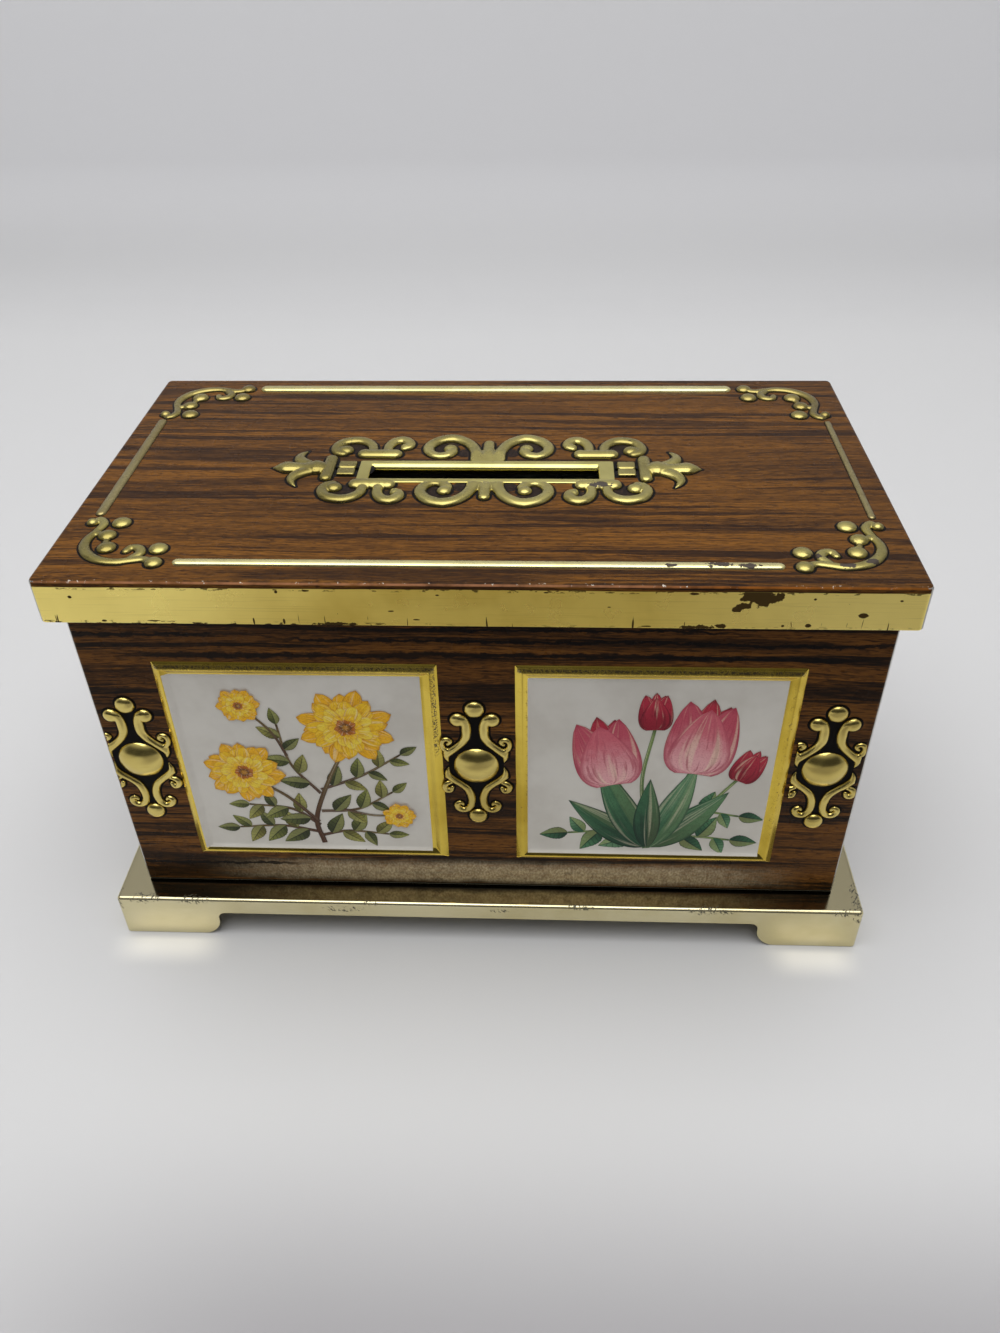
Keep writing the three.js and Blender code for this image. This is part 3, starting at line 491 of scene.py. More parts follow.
@dataclass(frozen=True)
class Relief:
    """How a group of embossed strokes stands out of the sheet, in millimetres."""

    lift: float
    widest: float
    spread: float = 0.0
    sides: int = 5
    fullness: float = 2.6
    edge: float = 0.7
    sink: float = 0.25

    def stroke(self, places: list[tuple], count: int = 28) -> Piece:
        """Draws one embossed stroke.

        Args:
            places: Places of x, y and half width in millimetres.
            count: Number of cross-sections.

        Returns:
            The stroke, standing on the plane z = 0.
        """
        points = round_off([Vector((p[0], p[1], p[2] + self.spread)) for p in spread_places(places, count)])
        line = added(bpy.ops.curve.primitive_nurbs_path_add, radius=MM).data
        line.splines.clear()
        spline = line.splines.new("POLY")
        spline.points.add(len(points) - 1)
        for spot, point in zip(spline.points, points):
            spot.co = (point.x * MM, point.y * MM, 0, 1)
            spot.radius = max(point.z, 0.02)
        line.dimensions = "3D"
        line.twist_mode = "Z_UP"
        line.bevel_depth = MM
        line.bevel_resolution = self.sides
        bpy.ops.object.convert(target="MESH")
        piece = bpy.context.object
        around = len(piece.data.vertices) // len(points)
        for vert in piece.data.vertices:
            width = max(points[vert.index // around].z, 0.02)
            up = vert.co.z / (width * MM)
            vert.co.z = self.height(up, width) * MM if up > 0.01 else -self.sink * MM
        with whole_mesh(piece):
            bpy.ops.mesh.fill_holes(sides=0)
        return piece

    def height(self, up: float, width: float) -> float:
        """Height of the pressed section where a round one of the same width would reach a share up."""
        across = math.sqrt(max(0.0, 1 - up * up))
        return self.lift * (width / (self.widest + self.spread)) ** 0.8 * (1 - across**self.fullness) ** self.edge

    def bead(self, x: float, y: float, radius: float, lift: float = 0.0) -> Piece:
        """Draws one embossed bead.

        Args:
            x: Place of its middle.
            y: Place of its middle.
            radius: Its radius.
            lift: Its height, or 0 for the height of a stroke as wide.

        Returns:
            The bead, standing on the plane z = 0.
        """
        wide = radius + self.spread
        high = lift or self.lift * (wide / (self.widest + self.spread)) ** 0.8
        sphere = bpy.ops.mesh.primitive_uv_sphere_add
        piece = settle(added(sphere, segments=24, ring_count=16, radius=MM, location=(x * MM, y * MM, 0)))
        for vert in piece.data.vertices:
            vert.co.x = (x + (vert.co.x / MM - x) * wide) * MM
            vert.co.y = (y + (vert.co.y / MM - y) * wide) * MM
            vert.co.z = vert.co.z * high if vert.co.z > 0 else -self.sink * MM
        return piece

    def slab(self, low: tuple, high: tuple, lift: float) -> Piece:
        """Draws one embossed bar with straight sides.

        Args:
            low: Its lower corner, x and y.
            high: Its higher corner, x and y.
            lift: Its height.

        Returns:
            The bar, standing on the plane z = 0.
        """
        out = self.spread
        bevel, segments = (0.01, 1) if out > 0 else (min(lift * 0.66, 0.33), 4)
        top = (high[0] + out, high[1] + out, self.tall(lift))
        return add_block((low[0] - out, low[1] - out, -self.sink), top, bevel, segments)

    def tall(self, lift: float) -> float:
        """Gives the height of a form that is embossed by a lift, which is slight where the strokes are ink."""
        return self.lift if self.spread > 0 else lift


def flat_ink(lift: float, widest: float, spread: float = 0.0, sides: int = 3) -> Relief:
    """Strokes of printing ink, which lie almost flat on the sheet."""
    return Relief(lift, widest, spread, sides, sink=0.03)


# Relief round the coin slot, for the quarter to the right and back: x, y and half width in millimetres
VOLUTE = [
    (2.0, 4.2, 1.5), (2.6, 8.0, 1.25), (4.2, 11.3, 1.3), (7.2, 13.3, 1.4), (10.2, 12.2, 1.35), (11.85, 9.7, 1.25),
    (11.6, 7.2, 1.15), (9.9, 5.6, 1.1), (8.0, 6.0, 1.2), (7.2, 7.4, 1.25),
]
VOLUTE_EYE = (7.55, 8.65, 1.4)
STEM = [(0, 4.2, 1.35), (0, 8.6, 1.2), (0, 10.9, 1.15)]
INNER_SCROLL = [
    (20.0, 7.2, 1.0), (19.9, 9.8, 1.1), (18.9, 11.8, 1.25), (17.3, 12.4, 1.3), (15.95, 11.2, 1.25), (15.9, 9.6, 1.05),
    (16.7, 8.9, 0.9),
]
INNER_EYE = (16.5, 9.4, 1.15)
OUTER_SCROLL = [
    (22.9, 7.4, 1.0), (23.3, 9.9, 1.1), (24.9, 11.7, 1.25), (27.0, 12.15, 1.3), (29.3, 11.2, 1.25), (30.4, 9.0, 1.15),
    (30.0, 7.0, 1.05), (28.8, 6.3, 1.0),
]
OUTER_EYE = (28.3, 7.7, 1.6)
LONG_BAR = [(18.4, 6.1, 1.5), (24.3, 6.1, 1.5)]
LONG_BAR_LOBES = [(18.4, 6.3, 1.55), (21.35, 6.3, 1.5), (24.3, 6.3, 1.55)]
CROSS_BAR = [(30.55, -3.7, 1.3), (30.55, 3.9, 1.3)]
BRIDGE = ((25.25, 0.1), (28.75, 2.75))
LILY_HEART = [
    (33.1, 0, 2.5), (34.3, 0, 1.95), (35.6, 0, 1.5), (37.4, 0, 1.85), (38.9, 0, 2.0), (40.3, 0, 1.2), (41.3, 0, 0.2),
]
LILY_PETAL = [
    (33.6, 1.0, 1.3), (35.3, 1.9, 1.4), (36.6, 3.3, 1.3), (36.95, 4.9, 0.95), (36.4, 6.4, 0.5), (35.7, 7.3, 0.1),
]

# Corner scroll: distance from the lid's end and from its front edge, and half width
CORNER_SCROLL = [
    (5.2, 19.0, 0.75), (5.9, 20.3, 0.85), (7.15, 18.6, 0.9), (6.7, 16.0, 0.8), (5.95, 13.2, 0.9), (6.3, 10.5, 1.05),
    (7.95, 8.0, 1.1), (10.5, 6.35, 1.05), (13.3, 5.85, 0.95), (15.7, 6.4, 0.9), (17.9, 6.8, 0.85), (19.6, 6.0, 0.95),
]
CORNER_STUB = [(6.9, 15.3, 0.8), (8.8, 14.8, 0.85)]
CORNER_COMMA = [(14.1, 9.4, 0.75), (14.7, 10.6, 0.85), (16.2, 10.3, 1.0), (16.8, 8.7, 0.95), (15.8, 7.1, 0.85)]
CORNER_STALK = [(9.9, 11.2, 0.75), (9.5, 12.7, 0.6)]
CORNER_BEADS = [
    (4.95, 19.0, 1.1), (10.3, 19.0, 1.78), (9.15, 14.6, 1.65), (10.35, 10.4, 1.75), (19.6, 10.2, 1.75),
    (20.0, 5.7, 1.6),
]

# Front ornament: right half, across and up from its middle, and half width
CREST_UPPER = [
    (5.35, 0.75, 0.12), (5.6, 1.7, 0.5), (5.55, 2.6, 0.75), (4.75, 3.6, 0.85), (3.5, 4.7, 0.8), (2.4, 5.9, 0.85),
    (1.75, 7.3, 1.0), (1.65, 8.9, 1.05), (1.75, 10.3, 1.0), (2.2, 11.4, 1.0), (2.9, 11.75, 1.1),
]
CREST_HEAD = (3.2, 11.4, 1.55)
CREST_LOWER = [
    (5.35, -0.75, 0.12), (5.6, -1.7, 0.5), (5.5, -2.7, 0.72), (4.6, -3.85, 0.78), (3.2, -5.0, 0.75), (1.95, -6.3, 0.82),
    (1.3, -7.9, 0.88), (1.15, -9.7, 0.85), (1.5, -11.2, 0.78), (2.5, -12.1, 0.7), (3.7, -11.8, 0.75),
    (4.15, -10.8, 0.7), (3.45, -10.1, 0.55), (2.95, -10.6, 0.4),
]
CREST_UPPER_CURL = [
    (5.0, 3.5, 0.5), (6.1, 4.1, 0.55), (6.45, 5.2, 0.55), (6.15, 6.25, 0.55), (5.3, 6.5, 0.5), (4.8, 5.8, 0.48),
    (5.3, 5.3, 0.38),
]
CREST_LOWER_CURL = [
    (5.0, -4.6, 0.45), (5.9, -5.0, 0.62), (6.4, -5.8, 0.68), (6.05, -6.7, 0.68), (5.25, -6.8, 0.62), (4.9, -6.1, 0.48),
]
CREST_NOTCHES = [(5.55, 3.1, 0.75), (5.5, -3.0, 0.75)]
CREST_DROPS = [(0, 13.95, 1.9), (0, -13.8, 1.9)]
CREST_GROUND = [
    (0, -12.3, 1.2), (0, -10.5, 1.3), (0, -8.6, 1.5), (0, -6.6, 2.6), (0, -5.2, 4.0), (0, -3.6, 5.2), (0, -1.8, 5.8),
    (0, 0, 5.9), (0, 1.8, 5.8), (0, 3.6, 5.2), (0, 5.2, 4.0), (0, 6.6, 2.6), (0, 8.6, 1.8), (0, 10.5, 1.7),
    (0, 12.4, 1.4),
]


# Shader sketching
class Sketch:
    """A node tree that is drawn up step by step."""

    def __init__(self, tree: Tree) -> None:
        """Takes the tree to draw in."""
        self.tree = tree

    def add(self, kind: str, **settings) -> bpy.types.Node:
        """Adds one node.

        Args:
            kind: Its type, such as ShaderNodeMath.
            **settings: Values of its properties.

        Returns:
            The node.
        """
        count = len(self.tree.nodes)
        node = self.tree.nodes.new(kind)
        node.location = (count * 60, -(count % 6) * 120)
        for key, value in settings.items():
            setattr(node, key, value)
        return node

    def feed(self, socket: Socket, source) -> None:
        """Links a source to a socket, or sets the socket to a plain value."""
        if isinstance(source, Socket):
            self.tree.links.new(source, socket)
        elif source is not None:
            socket.default_value = source

    def fed(self, kind: str, sources: dict, **settings) -> bpy.types.Node:
        """Adds one node and feeds its inputs, which are named or numbered."""
        node = self.add(kind, **settings)
        for label, source in sources.items():
            self.feed(node.inputs[label], source)
        return node

    def math(self, operation: str, *sources) -> Socket:
        """Adds a sum of numbers and gives its output."""
        return self.fed("ShaderNodeMath", dict(enumerate(sources)), operation=operation).outputs[0]

    def times(self, *factors) -> Socket:
        """Multiplies numbers from the first to the last."""
        found = factors[0]
        for factor in factors[1:]:
            found = self.math("MULTIPLY", found, factor)
        return found

    def less(self, a, b) -> Socket:
        """Subtracts the second number from the first."""
        return self.math("SUBTRACT", a, b)

    def rest(self, mask) -> Socket:
        """Gives what a mask leaves free."""
        return self.less(1.0, mask)

    def apart(self, a, b) -> Socket:
        """Gives how far two numbers are apart."""
        return self.math("ABSOLUTE", self.less(a, b))

    def pushed(self, level, wave, reach) -> Socket:
        """Pushes a level to and fro by a wave of 0 to 1."""
        return self.math("ADD", level, self.times(self.less(wave, 0.5), reach))

    def strongest(self, masks: list) -> Socket:
        """Gives the strongest of several masks."""
        found = masks[0]
        for mask in masks[1:]:
            found = self.math("MAXIMUM", found, mask)
        return found

    def vector(self, operation: str, *sources) -> bpy.types.Node:
        """Adds a sum of vectors and gives its node."""
        return self.fed("ShaderNodeVectorMath", dict(enumerate(sources)), operation=operation)

    def combine(self, *parts) -> Socket:
        """Puts three numbers together as a vector. A pair of a number and a factor is multiplied first."""
        numbers = [self.times(*part) if isinstance(part, tuple) else part for part in parts]
        return self.fed("ShaderNodeCombineXYZ", dict(enumerate(numbers))).outputs[0]

    def split(self, source) -> tuple:
        """Takes a vector apart into three numbers."""
        return tuple(self.fed("ShaderNodeSeparateXYZ", {0: source}).outputs)

    def noise(self, vector, scale: float = 1.0, detail: float = 2.0, rough: float = 0.5) -> Socket:
        """Adds a soft noise and gives its value."""
        values = {"Vector": vector, "Scale": scale, "Detail": detail, "Roughness": rough}
        return self.fed("ShaderNodeTexNoise", values).outputs[0]

    def range(self, value, low, high, to_low: float = 0.0, to_high: float = 1.0) -> Socket:
        """Stretches a value from one range to another, softly and clamped."""
        values = {"Value": value, "From Min": low, "From Max": high, "To Min": to_low, "To Max": to_high}
        return self.fed("ShaderNodeMapRange", values, interpolation_type="SMOOTHSTEP").outputs[0]

    def window(self, value, rise: tuple, fall: tuple) -> Socket:
        """Gives a mask that is full between two soft ends, each a pair of where it is 0 and where it is 1."""
        return self.times(self.range(value, *rise), self.range(value, *fall))

    def mix(self, factor, a, b) -> Socket:
        """Mixes two colours."""
        a, b = (colour(tint) if isinstance(tint, tuple) else tint for tint in (a, b))
        return self.fed("ShaderNodeMix", {0: factor, 6: a, 7: b}, data_type="RGBA").outputs[2]

    def blend(self, factor, a, b) -> Socket:
        """Mixes two numbers."""
        return self.fed("ShaderNodeMix", {0: factor, 2: a, 3: b}, data_type="FLOAT").outputs[0]

    def bump(self, height, strength: float, distance: float) -> Socket:
        """Adds a bump and gives its normal."""
        values = {"Strength": strength, "Distance": distance, "Height": height}
        return self.fed("ShaderNodeBump", values).outputs[0]

    def group(self, tree: Tree, **values) -> Socket:
        """Places a node group with its own values and gives its output."""
        named = {key.title(): value for key, value in values.items()}
        return self.fed("ShaderNodeGroup", named, node_tree=tree).outputs[0]

    def place(self) -> Socket:
        """Gives the piece's own coordinates."""
        return self.add("ShaderNodeTexCoord").outputs["Object"]


def sketched(owner: bpy.types.ID) -> Sketch:
    """Starts the empty node tree of a new material or world."""
    owner.use_nodes = True
    owner.node_tree.nodes.clear()
    return Sketch(owner.node_tree)


def colour(value: tuple) -> tuple:
    """Turns a plain sRGB colour of 0 to 255 into a linear one with alpha."""
    linear = []
    for part in value[:3]:
        share = part / 255
        linear.append(share / 12.92 if share <= 0.04045 else ((share + 0.055) / 1.055) ** 2.4)
    return (*linear, 1.0)


# Shader groups that several finishes share
NUMBER = "NodeSocketFloat"
VECTOR = "NodeSocketVector"
COLOUR = "NodeSocketColor"


def new_group(name: str, inputs: dict, output: tuple) -> tuple:
    """Starts a shader group.

    Args:
        name: Its name.
        inputs: Names of its inputs and their kinds.
        output: Name of its output and its kind.

    Returns:
        The sketch, the outputs of its input node and its output's socket.
    """
    tree = bpy.data.node_groups.new(name, "ShaderNodeTree")
    for label, kind in inputs.items():
        tree.interface.new_socket(name=label, in_out="INPUT", socket_type=kind)
    tree.interface.new_socket(name=output[0], in_out="OUTPUT", socket_type=output[1])
    sketch = Sketch(tree)
    return sketch, sketch.add("NodeGroupInput").outputs, sketch.add("NodeGroupOutput").inputs[0]


@cache
def flaked_patch() -> Tree:
    """One place where the print has flaked off: a ragged patch of a stated middle and reach."""
    inputs = {"Place": VECTOR, "Middle": VECTOR, "Reach": VECTOR, "Ragged": NUMBER}
    sketch, given, out = new_group("flaked_patch", inputs, ("Mask", NUMBER))
    offset = sketch.vector("SUBTRACT", given["Place"], given["Middle"]).outputs["Vector"]
    share = sketch.vector("DIVIDE", offset, given["Reach"]).outputs["Vector"]
    size = sketch.vector("LENGTH", share).outputs["Value"]
    edge = sketch.pushed(size, sketch.noise(given["Place"], 900.0, 3.0, 0.6), given["Ragged"])
    sketch.feed(out, sketch.range(edge, 1.0, 0.9))
    return sketch.tree


@cache
def fine_specks() -> Tree:
    """Fine dark specks and nicks, sparse and uneven."""
    sketch, given, out = new_group("fine_specks", {"Place": VECTOR, "Amount": NUMBER}, ("Mask", NUMBER))
    broad = sketch.times(sketch.noise(given["Place"], 90.0), 0.55)
    both = sketch.math("ADD", sketch.noise(given["Place"], 1500.0, 2.0, 0.6), broad)
    limit = sketch.less(1.16, given["Amount"])
    sketch.feed(out, sketch.range(both, limit, sketch.math("ADD", limit, 0.015)))
    return sketch.tree


@cache
def printed_grain() -> Tree:
    """Printed wood grain along x of its place, with y across it."""
    inputs = {"Place": VECTOR, "Bright": COLOUR, "Middle": COLOUR, "Dark": COLOUR, "Streaks": NUMBER}
    sketch, given, out = new_group("printed_grain", inputs, ("Color", COLOUR))
    along, across = sketch.split(given["Place"])[:2]

    def drawn(level, long: float, wide: float, seed: float, detail: float) -> Socket:
        """A noise drawn out along the grain."""
        return sketch.noise(sketch.combine((along, long), (level, wide), seed), 1.0, detail, 0.6)

    level = sketch.pushed(across, drawn(across, 13.0, 40.0, 0.4, 1.0), 0.005)
    level = sketch.pushed(level, drawn(across, 150.0, 600.0, 3.3, 3.0), 0.0007)
    tone = sketch.range(drawn(level, 7.0, 170.0, 5.1, 3.0), 0.34, 0.66)
    base = sketch.mix(tone, given["Middle"], given["Bright"])
    fibre = drawn(level, 260.0, 3600.0, 9.7, 3.0)
    base = sketch.mix(sketch.range(fibre, 0.45, 0.62, 0.0, 0.6), base, given["Dark"])
    glint = drawn(level, 330.0, 3100.0, 17.9, 2.0)
    base = sketch.mix(sketch.range(glint, 0.5, 0.64, 0.0, 0.6), base, given["Bright"])
    broad = sketch.range(drawn(level, 9.0, 150.0, 12.3, 2.0), 0.56, 0.64, 0.0, 0.8)
    line = sketch.range(drawn(level, 11.0, 430.0, 26.0, 3.0), 0.535, 0.59, 0.0, 0.9)
    hair = sketch.range(drawn(level, 16.0, 1050.0, 36.0, 2.0), 0.48, 0.6, 0.0, 0.55)
    patch = sketch.range(drawn(level, 14.0, 120.0, 31.0, 2.0), 0.38, 0.58, 0.35, 1.0)
    streak = sketch.math("MAXIMUM", broad, sketch.math("MAXIMUM", line, sketch.times(hair, patch)))
    streak = sketch.times(streak, sketch.range(fibre, 0.22, 0.52, 0.6, 1.0), given["Streaks"])
    base = sketch.mix(streak, base, given["Dark"])
    dash = sketch.range(drawn(level, 480.0, 3000.0, 21.9, 1.0), 0.6, 0.68, 0.0, 0.6)
    sketch.feed(out, sketch.mix(dash, base, given["Dark"]))
    return sketch.tree


def speckled(sketch: Sketch, place, amount: float) -> Socket:
    """Places fine specks and gives their mask."""
    return sketch.group(fine_specks(), place=place, amount=amount)


@dataclass(frozen=True)
class Flake:
    """A flaked patch, in millimetres: its middle, its reach and how ragged it is."""

    x: float
    y: float
    z: float
    reach_x: float
    reach_z: float
    ragged: float = 1.6
    reach_y: float = 6.0

    def mask(self, sketch: Sketch, place) -> Socket:
        """Draws the patch and gives its mask."""
        return sketch.group(
            flaked_patch(),
            place=place,
            middle=(self.x * MM, self.y * MM, self.z * MM),
            reach=(self.reach_x * MM, self.reach_y * MM, self.reach_z * MM),
            ragged=self.ragged,
        )


def flaked(sketch: Sketch, place, rows: tuple) -> list[Socket]:
    """Draws flaked patches and gives their masks. Each row holds the values of one patch."""
    return [Flake(*row).mask(sketch, place) for row in rows]


def gold_colour(sketch: Sketch, place, bright: tuple, dull: tuple) -> Socket:
    """Lacquered gold with soft clouds and a faint rolled grain.

    Args:
        sketch: The tree to draw in.
        place: The piece's coordinates.
        bright: The lighter colour.
        dull: The duller colour.

    Returns:
        The colour.
    """
    x, y, z = sketch.split(place)
    cloud = sketch.range(sketch.noise(place, 45.0, 4.0, 0.6), 0.35, 0.7)
    rolled = sketch.noise(sketch.combine((x, 120.0), (y, 1500.0), (z, 1500.0)))
    tint = sketch.mix(cloud, bright, dull)
    return sketch.mix(sketch.range(rolled, 0.55, 0.75, 0.0, 0.25), tint, dull)


@dataclass(frozen=True)
class Finish:
    """A finish of one sheet or metal."""

    name: str

    def material(self) -> bpy.types.Material:
        """Gives the finish's material, built once."""
        found = bpy.data.materials.get(self.name)
        if found is not None:
            return found
        made = bpy.data.materials.new(self.name)
        sketch = sketched(made)
        shader = sketch.fed("ShaderNodeBsdfPrincipled", self.draw(sketch, sketch.place()))
        sketch.fed("ShaderNodeOutputMaterial", {"Surface": shader.outputs[0]})
        return made

    def draw(self, sketch: Sketch, place) -> dict:
        """Draws the finish up.

        Args:
            sketch: The tree to draw in.
            place: The piece's coordinates.

        Returns:
            What its shader's inputs are fed with.
        """
        raise NotImplementedError


# Flaked patches of the lid's gold skirt, each with the values of a Flake
SKIRT_FLAKES = (
    (47.1, -42, 88.4, 3.5, 1.8, 1.9), (44.5, -42, 86.6, 1.1, 0.7, 1.7), (43.5, -42, 85.8, 0.8, 0.55, 1.6),
    (64.3, -42, 84.8, 0.95, 0.55, 1.3), (50.5, -42, 88.8, 0.5, 0.4, 1.4), (56.0, -42, 88.0, 0.25, 0.25, 0.9),
    (55.6, -42, 82.7, 0.6, 0.4, 1.2), (51.5, -42, 82.6, 0.3, 0.25, 1.2), (37.5, -42, 82.2, 2.8, 0.42, 2.6),
    (41.2, -42, 82.5, 1.1, 0.5, 1.7), (70.0, -42, 87.8, 0.3, 0.2, 0.9), (36.5, -42, 88.9, 0.9, 0.25, 2.0),
    (-24.0, -42, 82.15, 4.2, 0.36, 3.0), (-37.6, -42, 82.6, 0.16, 0.75, 0.8), (-32.4, -42, 82.6, 0.2, 0.6, 0.8),
    (74.7, -41.6, 86.0, 0.3, 4.5, 1.0, 0.5), (-68.3, -42, 87.2, 0.35, 0.3, 0.9), (-14.0, -42, 84.9, 0.55, 0.16, 1.3),
    (-9.8, -42, 83.2, 0.6, 0.16, 1.4), (-63.5, -42, 82.4, 0.4, 0.2, 1.2), (-55.0, -42, 82.5, 1.3, 0.13, 1.6),
    (-33.0, -42, 88.6, 0.3, 0.35, 1.2), (-28.0, -42, 88.9, 0.6, 0.2, 1.5), (-6.0, -42, 88.2, 0.3, 0.15, 1.2),
    (12.0, -42, 88.9, 0.5, 0.16, 1.6), (22.5, -42, 86.1, 0.3, 0.12, 1.2), (29.0, -42, 82.3, 0.8, 0.15, 1.8),
)


@dataclass(frozen=True)
class LidPrint(Finish):
    """Wood print on the lid's top and its fold, and gold on the skirt."""

    border: float = 89.25

    def draw(self, sketch: Sketch, place) -> dict:
        """Draws both prints, the flakes, the worn fold with a painted highlight along it, painted shade on the top and
        painted lighter ends of the skirt.
        """
        x, y, z = sketch.split(place)
        wood = sketch.group(
            printed_grain(),
            place=sketch.combine(x, sketch.less(y, z), 0.0),
            bright=colour((122, 79, 29)),
            middle=colour((86, 55, 23)),
            dark=colour((33, 21, 16)),
            streaks=0.95,
        )
        # Painted shade: the wood of the lid's top turns darker towards the back and towards the right.
        away = sketch.strongest([sketch.range(y, -0.015, 0.04, 0.0, 0.2), sketch.range(x, 0.02, 0.07, 0.0, 0.24)])
        wood = sketch.mix(away, wood, (42, 30, 24))
        lacquer = gold_colour(sketch, place, (234, 207, 104), (208, 178, 78))
        # Painted reflection: the skirt's gold is lighter towards both ends.
        ends = sketch.strongest([sketch.range(x, -0.01, -0.06), sketch.range(x, 0.02, 0.07)])
        lacquer = sketch.mix(sketch.times(ends, 0.7), lacquer, (255, 236, 142))
        rolled = sketch.noise(sketch.combine((x, 45.0), (y, 45.0), (z, 5200.0)))
        lacquer = sketch.mix(sketch.range(rolled, 0.58, 0.7, 0.0, 0.2), lacquer, (150, 124, 60))
        level = sketch.pushed(z, sketch.noise(place, 60.0), 0.0004)
        gold = sketch.range(level, (self.border + 0.05) * MM, (self.border - 0.05) * MM)
        flakes = sketch.strongest(flaked(sketch, place, SKIRT_FLAKES))
        bare = [flakes, speckled(sketch, place, 0.06), self.scratches(sketch, x, z), self.nicks(sketch, x, z)]
        bare = sketch.times(sketch.strongest(bare), gold)
        tint = sketch.mix(gold, wood, lacquer)
        tint = sketch.mix(bare, tint, (70, 54, 26))
        # Painted highlight: a warm line along the lid's front fold.
        highlight_tint = sketch.mix(sketch.range(x, 0.02, 0.045), (176, 122, 86), (158, 94, 36))
        tint = sketch.mix(self.fold_highlight(sketch, place, y, z), tint, highlight_tint)
        tint = sketch.mix(sketch.times(self.fold_wear(sketch, place, y, z), sketch.rest(gold)), tint, (222, 212, 196))
        cloud = sketch.noise(place, 120.0, 3.0, 0.6)
        rough = sketch.blend(gold, sketch.range(cloud, 0.3, 0.7, 0.24, 0.32), sketch.range(cloud, 0.3, 0.7, 0.26, 0.36))
        grit = sketch.noise(sketch.combine((x, 500.0), (y, 900.0), (z, 3000.0)))
        return {
            "Base Color": tint,
            "Metallic": sketch.times(gold, sketch.rest(bare)),
            "Roughness": sketch.blend(flakes, rough, 0.7),
            "Specular IOR Level": 0.04,
            "Normal": sketch.bump(sketch.less(sketch.times(grit, 0.14), flakes), 0.2, 0.00006),
        }

    def scratches(self, sketch: Sketch, x, z) -> Socket:
        """Short thin upright scratches low on the skirt, sparse along it."""
        fine = sketch.range(sketch.noise(sketch.combine((x, 1700.0), (z, 130.0), 4.4), 1.0, 2.0, 0.6), 0.69, 0.72)
        return sketch.times(fine, sketch.range(z, 0.0846, 0.0832))

    def nicks(self, sketch: Sketch, x, z) -> Socket:
        """Small dark nicks in rows along both edges of the skirt, closest at the left."""
        nick = sketch.range(sketch.noise(sketch.combine((x, 620.0), 7.7, (z, 1900.0)), 1.0, 2.0, 0.6), 0.58, 0.61)
        low = sketch.times(sketch.range(z, 0.08265, 0.0822), sketch.range(x, 0.0, -0.02, 0.35, 1.0))
        return sketch.times(nick, sketch.math("MAXIMUM", low, sketch.range(z, 0.0886, 0.089, 0.0, 0.9)))

    def fold_wear(self, sketch: Sketch, place, y, z) -> Socket:
        """Small pale rubbed spots along the lid's front fold."""
        spots = sketch.range(sketch.noise(place, 1100.0, 4.0, 0.7), 0.61, 0.66)
        return sketch.times(sketch.range(y, -0.0413, -0.04165), sketch.range(z, 0.0899, 0.0901), spots)

    def fold_highlight(self, sketch: Sketch, place, y, z) -> Socket:
        """A thin warm painted highlight along the lid's front fold, broken along its length."""
        line = sketch.window(z, (0.08986, 0.09), (0.09032, 0.09018))
        wear_and_sheen = sketch.range(sketch.noise(place, 240.0, 3.0, 0.6), 0.35, 0.65, 0.3, 0.75)
        return sketch.times(sketch.range(y, -0.0411, -0.0415), sketch.times(line, wear_and_sheen))


